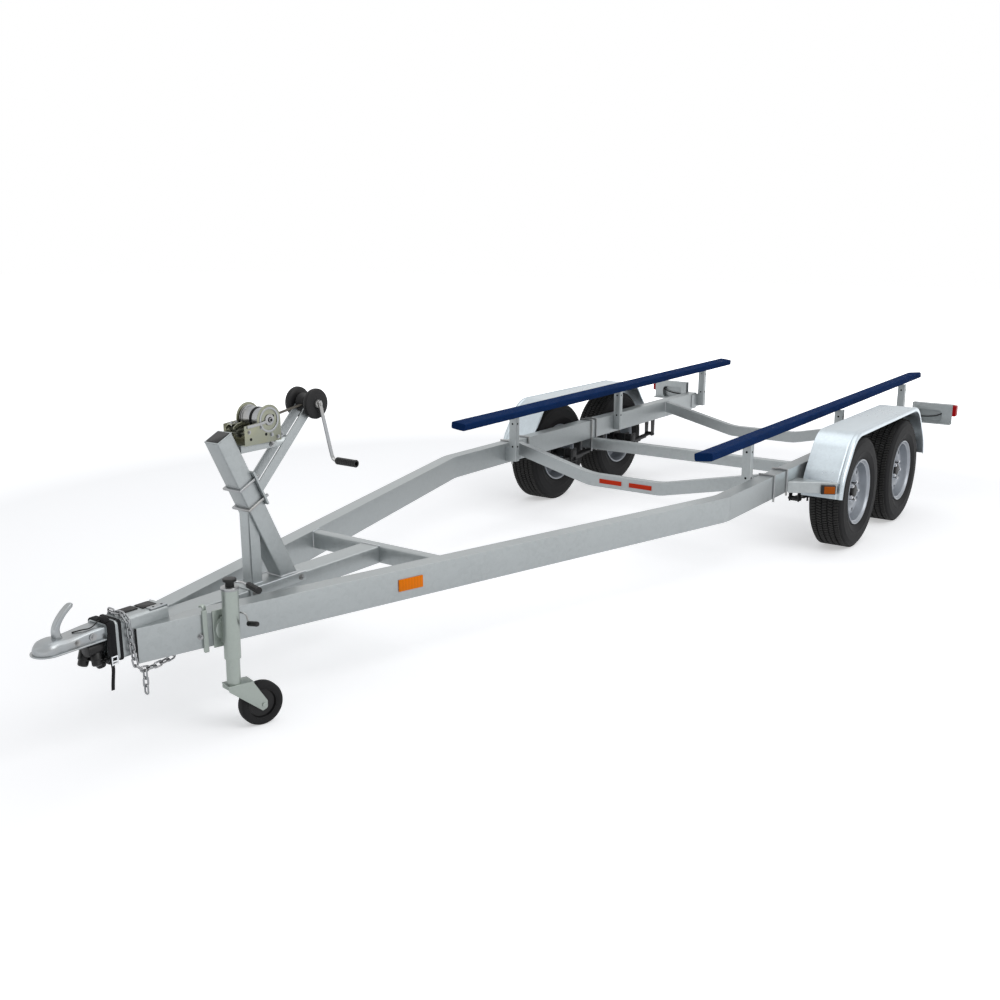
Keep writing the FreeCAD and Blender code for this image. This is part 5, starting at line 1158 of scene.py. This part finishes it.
class TRAILER_OT_winch(bpy.types.Operator):
    """Winch frame, drum with the wound strap and the strap to the roller"""
    bl_idname = "trailer.winch"
    bl_label = "Winch"

    def execute(self, context):
        self.open_case(rounded_copy("winch_frame_pressed", "winch_frame", "zinc", least=0.004))
        self.make_gears()
        frame = aimed(DRUM_SPOT, NEAR)
        bm = bmesh.new()
        lathe(bm, BEARING_RING, 40, frame, True)
        lathe(bm, DRUM_BAND, 48, frame, True)
        piece_from(bm, "winch_bearing_ring", "bolt", crisp=40.0)
        # The first row's dark discs are painted shade for the plates' holes and the bore at the
        # drum's axle.
        for name, shape, spots in (
                ("winch_plate_holes", discs("hole", 0.0058),
                 ((4058, 56, 1127), (4133, 56, 1118), (4020, 56, 1192), (4040, 68.2, 1180))),
                ("winch_plate_bolts", bolts("bolt", 0.006, 0.0045, 0.008, 0.0014, 0.0032, 0.0065),
                 ((4030, 56, 1122), (4140, 56, 1146), (3998, 56, 1110), (4080, 56, 1156)))):
            spread(name, shape, [aimed(spot, NEAR) for spot in spots])
        bm = bmesh.new()
        bar = [(4052, 60, 1176), (4080, 61, 1172), (4120, 60, 1168), (4150, 59, 1166)]
        swept(bm, smooth_line(bar, 5), box_outline(5.5, 1.8, 1, 2))
        piece_from(bm, "winch_pawl_bar", "bolt", crisp=40.0)
        bm = bmesh.new()
        slab(bm, gear_outline(46.5, 4.5, 18), 38, 43.5, frame)
        piece_from(bm, "winch_ratchet", "bolt", "winch_reel", 25.0)
        turned("winch_drum_turned", "bolt", frame, DRUM, 64, "winch_reel", replaces=["winch_drum"])
        turned("winch_strap_wound", "strap", frame, WOUND_STRAP, 64, "winch_reel", 40.0,
               closed=True)
        rounded_copy("winch_strap_run", "winch_strap", "belt", 0.0006)
        return {"FINISHED"}

    def open_case(self, pressed):
        """Takes the plain gear case off the frame, where the gears are drawn."""
        back = LEVEL.inverted()
        bm = bmesh.new()
        bm.from_mesh(pressed.data)
        case = []
        for face in bm.faces:
            x, y, z = back @ face.calc_center_median()
            if x > CASE_REAR and y < CASE_NEAR and z > CASE_LOW:
                case.append(face)
        bmesh.ops.delete(bm, geom=case, context="FACES")
        bmesh.ops.holes_fill(bm, edges=bm.edges)
        bm.to_mesh(pressed.data)
        bm.free()

    def make_gears(self):
        """The pinions, the pawl and their pins ahead of the drum."""
        bm = bmesh.new()
        frame = aimed(PINION_SPOT, NEAR)
        slab(bm, gear_outline(19, 4, 12), -24, -12, frame)
        lathe(bm, [(-58, 0), (-58, 6), (54, 6), (54, 0)], 20, frame)
        lathe(bm, [(-44, 6.2), (-44, 13), (-28, 13), (-28, 6.2)], 24, frame, True)
        frame = aimed(SMALL_PINION_SPOT, NEAR)
        slab(bm, gear_outline(15, 3, 10), 8, 20, frame)
        lathe(bm, [(-56, 0), (-56, 4.5), (54, 4.5), (54, 0)], 16, frame)
        piece_from(bm, "winch_pinions", "dark_zinc", crisp=30.0)
        bm = bmesh.new()
        for near, far, lift in ((-52, -47, 0), (-6, -1, 4)):
            loft(bm, [[Vector((x, y, z + lift)) for x, z in PAWL] for y in (near, far)])
        brick(bm, (4108, -47, 1168), (4154, -20, 1171))
        piece_from(bm, "winch_pawl", "zinc", crisp=30.0)
        spread("winch_pawl_bolts", bolts("bolt", 0.006, 0.005, 0.009, 0.0016, 0.0032, 0.009),
               [aimed((4120, -34, 1171)), aimed((4144, -34, 1171))])


def gear_outline(radius, depth, teeth):
    """A toothed wheel's outline."""
    outline = []
    for index in range(teeth * 2):
        reach = radius if index % 2 else radius - depth
        for shift in (-0.2, 0.2):
            turn = math.tau * (index + shift) / (teeth * 2)
            outline.append((reach * math.cos(turn), reach * math.sin(turn)))
    return outline


def grip_profile(start, ribs, end):
    """A grip's profile. Its ribs are their first place, their step and the points of one."""
    first, step, points = ribs
    middle = [(first + index * step + along, radius)
              for index in range(GRIP_RIBS) for along, radius in points]
    return start + middle + end


CRANK_REACH = 240
GRIP_RIBS = 8
ROLLER = [(0, 27), (4, 27.3), (10, 29.5), (18, 36.5), (21, 38), (23, 37.5), (24, 35), (24, 8),
          (34, 8), (34, 30), (34.5, 44), (37, 53), (41, 58.5), (46, 60), (55, 60), (59, 58),
          (61.5, 53), (62, 40), (61.2, 22), (62, 14), (63, 0)]


class TRAILER_OT_roller(bpy.types.Operator):
    """Black bow roller, and the crank with its grip"""
    bl_idname = "trailer.roller"
    bl_label = "Bow roller"

    def execute(self, context):
        body = "bow_roller_shaft"
        frame = aimed(ROLLER_SPOT, NEAR)
        turned("bow_roller_turned", "rubber", frame, mirrored_profile(ROLLER), 72, body, 32.0,
               replaces=["bow_roller"])
        bm = bmesh.new()
        lathe(bm, [(60, 6), (60, 15.5), (62, 17), (70, 17), (73, 15), (73, 8), (69, 6)], 40, frame,
              True)
        lathe(bm, [(61, 0), (61, 6), (83, 6), (84.5, 5), (85, 0)], 24, frame)
        down = Vector((-math.sin(CRANK_SWING), 0, -math.cos(CRANK_SWING)))
        start = ROLLER_SPOT + Vector((0, 76, 0))
        line = [start + down * reach + Vector((0, out, 0))
                for reach, out in ((-14, 0), (20, 0), (120, 0), (205, 0), (229, 3), (239, 12),
                                   (CRANK_REACH, 26))]
        swept(bm, smooth_line(line, 6), box_outline(3.4, 8.5, 3, 3), NEAR)
        piece_from(bm, "crank_bent", "bolt", body, replaces=["crank"])
        ribs = (36, 9.5, ((0, 15), (5, 15), (6, 14.5), (8, 14.5)))
        profile = grip_profile(
            [(22, 5), (22, 12.5), (24, 14.5), (28, 15), (29, 14), (33, 14), (34, 15)], ribs,
            [(118, 15), (124, 15.5), (127, 14.5), (127, 9), (112, 8), (112, 0)])
        turned("crank_grip_ribbed", "black", aimed(start + down * CRANK_REACH, NEAR), profile, 32,
               body, replaces=["crank_grip"])
        return {"FINISHED"}


SOCKET_RADIUS = 25.4
SOCKET_TOOL = [(530, 0), (530, SOCKET_RADIUS), (566, SOCKET_RADIUS), (566, 0)]
CHANNEL_HEIGHT = 45
CHANNEL_DROP = 12
SLOPE_START = 4820
FLANGE_HALF = 56
FLANGE_MIDDLE = 4900
# The coupler's channel: places along it, half its width there and its share of the height
CHANNEL = ((4731, 45, 1), (4760, 45, 1), (4800, 45, 1), (4840, 44, 1), (4885, 43, 1.0),
           (4912, 43.5, 1.02), (4932, 45, 1.06), (4950, 46.5, 1.18))
STRAP_TAIL = [(4798, 57.5, 560), (4800, 58.5, 520), (4798, 60, 478), (4795, 61, 440),
              (4797, 60, 412), (4800, 59, 384), (4801, 58, 362)]
COUPLER_WIRE = [(4801, 18, 603), (4812, 17, 600), (4826, 18, 592), (4846, 22, 589),
                (4866, 14, 588.5), (4882, 4, 586), (4894, -4, 584)]
# Each light plug's place, its direction, its radius and its reach
PLUGS = (((4832, 24, 498), (0.2, 0.35, -0.9), 20, 44),
         ((4846, -10, 500), (0.4, 0.1, -0.86), 22, 50),
         ((4816, 2, 488), (-0.2, 0.2, -0.95), 21, 54),
         ((4822, -30, 494), (0.1, -0.3, -0.95), 17, 42),
         ((4806, 30, 476), (0.2, 0.9, -0.3), 9, 30))


class TRAILER_OT_coupler(bpy.types.Operator):
    """Pressed coupler, lever, straps on the drawbar head and the light plugs"""
    bl_idname = "trailer.coupler"
    bl_label = "Coupler"

    def execute(self, context):
        self.make_coupler()
        self.make_lever()
        self.make_straps()
        self.make_plugs()
        rounded_copy("light_plugs_rounded", "light_plugs", "black", 0.003)
        self.make_fittings()
        return {"FINISHED"}

    def without_socket(self, bm):
        """A form with the ball's round bore cut from below."""
        tool = bmesh.new()
        lathe(tool, SOCKET_TOOL, 48, Matrix.Translation((BALL_X, 0, 0)))
        return cut_away(bm, tool)

    def make_coupler(self):
        """A pressed channel with soft shoulders that swells to the ball housing."""
        places = list(CHANNEL)
        for angle in (-20, 0, 15, 30, 45, 58, 69, 78, 85):
            turn = math.radians(angle)
            places.append((BALL_X + 49 * math.sin(turn), 48 * math.cos(turn),
                           1.32 - 0.40 * math.sin(turn) ** 3))
        rings = []
        for x, half, share in places:
            slope = CHANNEL_DROP / (BALL_X - SLOPE_START)
            height = (CHANNEL_HEIGHT - slope * max(0, x - SLOPE_START)) * share
            soft = min(10 + 14 * min(max((x - 4880) / 90, 0), 1), half * 0.8, height * 0.8)
            outline = rounded_outline([(-half, 0), (-half, height), (half, height), (half, 0)],
                                      {1: soft, 2: soft}, 7)
            rings.append([Vector((x, y, COUPLER_LOW + z)) for y, z in outline])
        bm = bmesh.new()
        loft(bm, rings)
        piece_from(self.without_socket(bm), "coupler_pressed", "coupler", crisp=40.0,
                   replaces=["coupler"])
        flat = [(4802, -FLANGE_HALF), (4802, FLANGE_HALF)]
        for step in range(19):
            turn = math.radians(10 * step)
            flat.append((BALL_X + FLANGE_HALF * math.sin(turn), FLANGE_HALF * math.cos(turn)))
        bm = bmesh.new()
        loft(bm, [[Vector((FLANGE_MIDDLE + (x - FLANGE_MIDDLE) * (1 - back / 142),
                           y * (1 - back / FLANGE_HALF), COUPLER_LOW + height))
                   for x, y in flat]
                  for height, back in ((0, 1.2), (1.2, 0), (4.2, 0), (5.4, 1.2))])
        piece_from(self.without_socket(bm), "coupler_flange", "coupler", crisp=40.0)
        for name, shape, x, z, wide in (
                ("coupler_bolts", bolts("bolt", 0.0075, 0.005, 0.0098, 0.0015, 0.004, 0.0075),
                 4905, 561, 44),
                ("coupler_pins", bolts("bolt", 0.0085, 0.004, 0.0135, 0.0022, 0.005, 0.006),
                 4848, 565, 45)):
            spread(name, shape, [aimed((x, wide * side, z), (0, side, 0)) for side in (1, -1)])

    def make_lever(self):
        """A cast handle that sweeps back to a rounded tip."""
        line = smooth_line([(4946, 0, 571), (4952, 0, 590), (4953, 0, 612), (4944, 0, 634),
                            (4925, 0, 657), (4903, 0, 675), (4886, 0, 684)], 6)
        sizes = ramped(len(line), (1.5, 1.0), (1.35, 0.95), (1.15, 0.9), (0.98, 0.92),
                       (0.86, 0.95), (0.8, 0.95), (0.72, 0.85))
        sizes[-3:] = [(0.62, 0.8), (0.5, 0.66), (0.28, 0.4)]
        bm = bmesh.new()
        swept(bm, line, box_outline(9.5, 13, 5, 4), (1, 0, 0), sizes)
        lathe(bm, [(570, 0), (570, 19), (573, 21), (577, 19.5), (579, 15), (579, 0)], 36,
              Matrix.Translation((4950, 0, 0)))
        piece_from(bm, "coupler_handle", "coupler", crisp=40.0, replaces=["coupler_lever"])

    def make_straps(self):
        """Two bands round the head, the buckle and the loose end that lies down its side."""
        for name, x, wide, thick, stood_for in (("head_strap", 4784, 15, 4.4, ["cable_strap"]),
                                                ("head_strap_thin", 4750, 5.5, 2.2, ())):
            rings = []
            for share, rise in ((-1, 0), (-1, 0.7), (-0.8, 1), (0, 1.1), (0.8, 1), (1, 0.7),
                                (1, 0)):
                rise *= thick
                outline = box_outline(51.3 + rise, 70.3 + rise, 8 + rise, 6)
                rings.append([Vector((x + share * wide, y, HEAD_MIDDLE_Z + z))
                              for y, z in outline])
            bm = bmesh.new()
            loft(bm, rings + rings[:1], False)
            piece_from(bm, name, "strap", crisp=40.0, replaces=stood_for)
        bm = bmesh.new()
        line = smooth_line([(4786, -8, 598), (4788, 6, 605), (4789, 20, 607), (4790, 34, 604),
                            (4790, 44, 598)], 6)
        swept(bm, line, box_outline(7, 13, 6, 4), (0, 0, 1),
              ramped(len(line), (0.5, 0.8), (1, 1), (1, 1), (1, 1), (0.5, 0.8)))
        piece_from(bm, "head_strap_knot", "strap", crisp=50.0)
        bm = bmesh.new()
        swept(bm, smooth_line(STRAP_TAIL, 8), box_outline(1.5, 6.5, 1, 2), NEAR)
        piece_from(bm, "head_strap_tail", "strap", crisp=50.0)
        bm = bmesh.new()
        for z in (452, 462, 478):
            swept(bm, [Vector((x, 61, z)) for x in (4775, 4796)], round_outline(2.8, 10))
        for x in (4775, 4796):
            swept(bm, [Vector((x, 61, z)) for z in (449, 481)], round_outline(3.0, 10), (1, 0, 0))
        piece_from(bm, "head_buckle", "bright", crisp=50.0)

    def make_plugs(self):
        """The light plugs under the coupler, and black pads in the rails' open front ends as
        painted shade inside the tubes.
        """
        bm = bmesh.new()
        for spot, axis, radius, reach in PLUGS:
            lathe(bm, [(-8, 0), (-8, radius * 0.8), (0, radius), (reach * 0.55, radius * 0.96),
                       (reach * 0.6, radius * 0.82), (reach * 0.9, radius * 0.8),
                       (reach, radius * 0.62), (reach + 2, 0)], 28, aimed(spot, axis))
        piece_from(bm, "plug_bodies", "black")
        # Painted shade: black pads over the rails' front ends stand for the dark inside of the open
        # tubes.
        bm = bmesh.new()
        for y in (56.5, -56.5):
            pad(bm, Matrix.Translation((RAIL_END_X + 0.4, y, RAIL_MIDDLE_Z)) @ FORWARD, 4.6, 62,
                1.5, ((0, 0), (1.4, 0)))
        piece_from(bm, "rail_end_painted_shade", "black")

    def make_fittings(self):
        """Rubber pads and a slotted tab on the head, with dark discs as painted shade in its slots,
        and the wire that runs along the coupler.
        """
        bm = bmesh.new()
        for x, y, half_x, half_y in ((4672, -18, 34, 22), (4600, -8, 30, 26)):
            pad(bm, Matrix.Translation((x, y, HEAD_TOP)), half_x, half_y, 5,
                ((0, 0), (2.2, 0), (3.4, 1.4)))
        piece_from(bm, "head_pads", "rubber", crisp=40.0)
        bm = bmesh.new()
        pad(bm, Matrix.Translation((4585, 36, HEAD_TOP)), 36, 14, 4, ((0, 0), (3, 0), (4, 1)))
        piece_from(bm, "head_tab", "coupler", crisp=40.0)
        # Painted shade: dark discs in the tab's slots.
        spread("head_tab_holes", discs("hole", 0.0042, 0.0003),
               [aimed((4602, 38, 598.4)), aimed((4566, 36, 598.4))])
        bm = bmesh.new()
        tube(bm, COUPLER_WIRE, 2.3, steps=8)
        piece_from(bm, "coupler_wire", "black", crisp=60.0)


STAPLE_WIRE = 2.8
HEAD_LEVEL = 560


class TRAILER_OT_chain(bpy.types.Operator):
    """Safety chain of round links, in the places of the CAD links"""
    bl_idname = "trailer.chain"
    bl_label = "Safety chain"

    def execute(self, context):
        spots = []
        bm = bmesh.new()
        for points in islands("safety_chain"):
            frame = link_frame(points)
            if frame:
                spots.append(frame)
            else:
                self.staple(bm, points)
        piece_from(bm, "chain_staples", "chain")
        spread("safety_chain_links", links("chain"), spots, replaces=["safety_chain"])
        return {"FINISHED"}

    def staple(self, bm, points):
        """A bent wire for a staple, with its arch up on the head and down on the rail."""
        low, high = points_box(points)
        middle = (low + high) / 2
        reach = (high - low) / 2
        foot, arch = ((low.z, high.z - STAPLE_WIRE) if middle.z > HEAD_LEVEL
                      else (high.z, low.z + STAPLE_WIRE))
        half = (foot + arch) / 2
        along_x = reach.x > reach.y
        side = (Vector((max(reach.x - 2.4, 0), 0, 0)) if along_x
                else Vector((0, max(reach.y - 2.4, 0), 0)))
        line = [middle + side * share for share in (-1, -1, 0, 1, 1)]
        for spot, height in zip(line, (foot, half, arch, half, foot)):
            spot.z = height
        tube(bm, line, STAPLE_WIRE, up=NEAR if along_x else (1, 0, 0))


LINK_SPREAD = 100


def link_frame(points):
    """A link's frame from its points, with X along it and Z through its thickness.
    A staple's points spread too little for one."""
    middle = sum(points, Vector()) / len(points)
    spread_of = Matrix(((0, 0, 0), (0, 0, 0), (0, 0, 0)))
    for point in points:
        away = point - middle
        for row in range(3):
            for column in range(3):
                spread_of[row][column] += away[row] * away[column] / len(points)
    ahead = strongest(spread_of, Vector((0.3, 0.5, 0.81)))
    strength = (spread_of @ ahead).dot(ahead)
    if strength < LINK_SPREAD:
        return None
    for row in range(3):
        for column in range(3):
            spread_of[row][column] -= strength * ahead[row] * ahead[column]
    across = strongest(spread_of, Vector((0.81, 0.3, 0.5)))
    across = (across - ahead * across.dot(ahead)).normalized()
    turn = Matrix((ahead, across, ahead.cross(across))).transposed().to_4x4()
    return Matrix.Translation(middle) @ turn


def strongest(spread_of, guess):
    """The direction in which points spread most."""
    for _ in range(60):
        guess = (spread_of @ guess).normalized()
    return guess


JACK_CAP = [(536, 0), (536, 16), (560, 15.5), (563, 17), (564, 24), (566, 25), (572, 25),
            (574, 23), (575, 12), (574.4, 0)]
JACK_RIM = [(532, 25.6), (532, 31), (534, 32.3), (542, 32.3), (544, 31), (544, 15), (541, 15),
            (541, 25.6)]
JACK_TYRE = [(0, 83), (12, 82.6), (17, 81), (20.5, 77), (22, 71), (22, 62), (20.5, 57), (19, 56)]
JACK_HUB = [(4, 8.5), (22, 8.5), (22, 20), (21, 22), (9, 24), (8, 46), (9, 50), (16, 52), (19, 54),
            (19, 55.8)]
PULL_ROD = [(-30, -44, 426), (-36, -20, 436), (-46, -4, 436), (-56, 2, 428), (-60, 5, 412),
            (-61, 9, 394), (-58, 15, 390)]


class TRAILER_OT_jack(bpy.types.Operator):
    """Swivel jack with its cap, crank, fork and black wheel"""
    bl_idname = "trailer.jack"
    bl_label = "Jack"

    def execute(self, context):
        rounded_copies(("jack_tube_round", "jack_tube", "jack", 0.0015, 0.01),
                       ("jack_leg_round", "jack_leg", "jack", 0.0008, 0.2),
                       ("jack_fork_round", "jack_fork", "jack"),
                       ("jack_bracket_round", "jack_bracket", "jack", 0.0015, 0.01))
        upright = Matrix.Identity(4)
        turned("jack_cap_knob", "black", upright, JACK_CAP, 40, "jack_frame", 35.0, JACK,
               ["jack_cap"])
        bm = bmesh.new()
        lathe(bm, JACK_RIM, 48, upright, True)
        tube(bm, [(0, 0, 557), (-26, 1, 557), (-46, 2, 550), (-59, 6, 543), (-65, 20, 541)], 4.6,
             14, NEAR, 8)
        piece_from(bm, "jack_cap_rim", "bolt", "jack_frame", 40.0, JACK)
        self.make_pull_pin()
        self.make_clamp()
        axle = aimed((-100, 0, 83), NEAR)
        turned("jack_wheel_tyre_round", "tyre", axle, mirrored_profile(JACK_TYRE), 72,
               "jack_roller", 30.0, JACK, ["jack_wheel_tyre"], True)
        turned("jack_wheel_disc", "black", axle, mirrored_profile(JACK_HUB), 64, "jack_roller",
               30.0, JACK, ["jack_wheel_hub"], True)
        ribs = (25, 8.5, ((0, 12), (1, 11.2), (3, 11.2), (4, 12)))
        profile = grip_profile([(12, 0), (12, 9.5), (14, 11.5), (22, 12)], ribs,
                               [(95, 12.6), (98, 12), (99, 8), (99, 0)])
        turned("jack_grip_ribbed", "black", aimed((-65, 0, 541), NEAR), profile, 28, "jack_frame",
               30.0, JACK, ["jack_grip"])
        return {"FINISHED"}

    def make_pull_pin(self):
        """The swivel's pull pin: a bent rod out of the disc with a black grip."""
        bm = bmesh.new()
        lathe(bm, [(-50, 0), (-50, 31), (-49, 33), (-46.5, 33), (-45.5, 31), (-45.5, 0)], 44,
              aimed((-6, 0, 382), NEAR))
        for index in range(12):
            spot = on_circle(27, math.tau * index / 12)
            lathe(bm, [(-1, 0), (-1, 3), (1.2, 2.6), (1.4, 0)], 8,
                  aimed((spot.x - 6, -45.2, spot.y + 382), NEAR))
        tube(bm, PULL_ROD, 3.2, 12, (1, 0, 0), 8)
        piece_from(bm, "jack_pull_pin", "bolt", "jack_frame", frame=JACK)
        turned("jack_pull_grip", "black", aimed((-58, 13, 398), (-0.3, 0.93, 0.16)),
               [(0, 0), (0, 8), (3, 9.5), (46, 9.5), (50, 8), (51, 0)], 28, "jack_frame", 35.0,
               JACK)

    def make_clamp(self):
        """The bracket's clamp plate along the rail's face, with its hook and bolt."""
        x = 4462
        along = (Matrix.Translation((x, rail_outer(x), RAIL_MIDDLE_Z))
                 @ Matrix.Rotation(RAIL_TURN, 4, "Z"))
        bm = bmesh.new()
        pad(bm, along @ aimed((0, 1, 0), NEAR), 9, 79, 3, ((0, 0), (9, 0), (11, 1.5)))
        hook = [(0, 6, 74), (0, 7, 88), (3, 2, 96), (8, -8, 94)]
        swept(bm, smooth_line([along @ Vector(point) for point in hook], 6),
              box_outline(3, 8, 2, 3), NEAR)
        piece_from(bm, "jack_clamp_plate", "jack")
        spread("jack_clamp_bolts", bolts("bolt", 0.009, 0.008, 0.012, 0.002, 0.0048, 0.014),
               [along @ aimed((16, 0, -18), NEAR)])


BEAD_PITCH = 3.4


class TRAILER_OT_welds(bpy.types.Operator):
    """Weld beads where the tubes meet, and the bolts through the frame"""
    bl_idname = "trailer.welds"
    bl_label = "Welds and bolts"

    def execute(self, context):
        spots = []
        for first, last in self.runs():
            first, last = Vector(first), Vector(last)
            count = max(2, round((last - first).length / BEAD_PITCH))
            for index in range(count + 1):
                spot = first.lerp(last, index / count)
                wander = noise.noise(spot * 0.13) * 0.8
                spots.append(aimed(spot + Vector((0, 0, wander)), (last - first).normalized()))
        bead = plain("weld_beads", "weld", "GeometryNodeMeshUVSphere",
                     {"Segments": 8, "Rings": 5}, Radius=0.0032)
        spread("weld_beads", bead, spots, crisp=180.0)
        spread("saddle_bolts", bolts("bolt"), [aimed((x, 57 * side, 530), (0, side, 0))
                                               for x in (3915, 4155) for side in (1, -1)])
        spread("stand_bolts", bolts("bolt", 0.008, 0.006, 0.011, 0.0016, 0.004, 0.010),
               [aimed((x, 32 * side, z), (0, side, 0))
                for side in (1, -1) for x, z in ((3960, 1112), (4010, 1080))])
        return {"FINISHED"}

    def runs(self):
        """Both ends of each weld."""
        found = []
        front, rear = 3397, 3447
        for side in (1, -1):
            for x in (front, rear):
                y = rail_inner(x) * side
                found += [((x, y, 468), (x, y, 544)),
                          ((x, y - 2 * side, 545), (x + 4, y + 8 * side, 545))]
            found.append(((front, rail_inner(front) * side - 1, 545),
                          (rear, rail_inner(rear) * side - 1, 545)))
            found.append(((3890, 57.5 * side, 549.5), (4180, 57.5 * side, 549.5)))
            found += [((x, 842 * side, 424), (x, 842 * side, 540))
                      for x in (1086, 1134, -926, -974)]
            found += [((3922, 38.5 * side, 551), (4002, 38.5 * side, 551)),
                      ((4091, 26.5 * side, 551), (4143, 26.5 * side, 551))]
        return found + [((4003, -38, 551), (4003, 38, 551)), ((3448, -51, 545), (3448, 51, 545)),
                        ((4550, -50, 590), (4550, 50, 590))]


def rail_outer(x):
    """The tapering rail's outer face."""
    return RAIL_OUTER - TAPER * (x - BEND_X)


def rail_inner(x):
    """The tapering rail's inner face."""
    return rail_outer(x) - RAIL_WIDE * math.sqrt(1 + TAPER * TAPER)


OPERATORS = (TRAILER_OT_stage, TRAILER_OT_frame, TRAILER_OT_posts, TRAILER_OT_bunks,
             TRAILER_OT_running_gear, TRAILER_OT_wheels, TRAILER_OT_fenders, TRAILER_OT_lamps,
             TRAILER_OT_winch_post, TRAILER_OT_winch, TRAILER_OT_roller, TRAILER_OT_coupler,
             TRAILER_OT_chain, TRAILER_OT_jack, TRAILER_OT_welds)


class TRAILER_PT_panel(bpy.types.Panel):
    bl_idname = "TRAILER_PT_panel"
    bl_label = "Boat Trailer"
    bl_space_type = "VIEW_3D"
    bl_region_type = "UI"
    bl_category = "Trailer"

    def draw(self, context):
        for operator in OPERATORS:
            self.layout.operator(operator.bl_idname)


CLASSES = (TrailerLook, StageSetup, *OPERATORS, TRAILER_PT_panel)


def register():
    for item in CLASSES:
        bpy.utils.register_class(item)
    bpy.types.Scene.trailer_look = bpy.props.PointerProperty(type=TrailerLook)
    bpy.types.Scene.trailer_stage = bpy.props.PointerProperty(type=StageSetup)


def unregister():
    del bpy.types.Scene.trailer_look
    del bpy.types.Scene.trailer_stage
    for item in reversed(CLASSES):
        bpy.utils.unregister_class(item)


def main():
    register()
    build_materials(bpy.context.scene.trailer_look)
    for operator in OPERATORS:
        group, name = operator.bl_idname.split(".")
        getattr(getattr(bpy.ops, group), name)()
    bpy.context.view_layer.update()


if __name__ == "__main__":
    main()
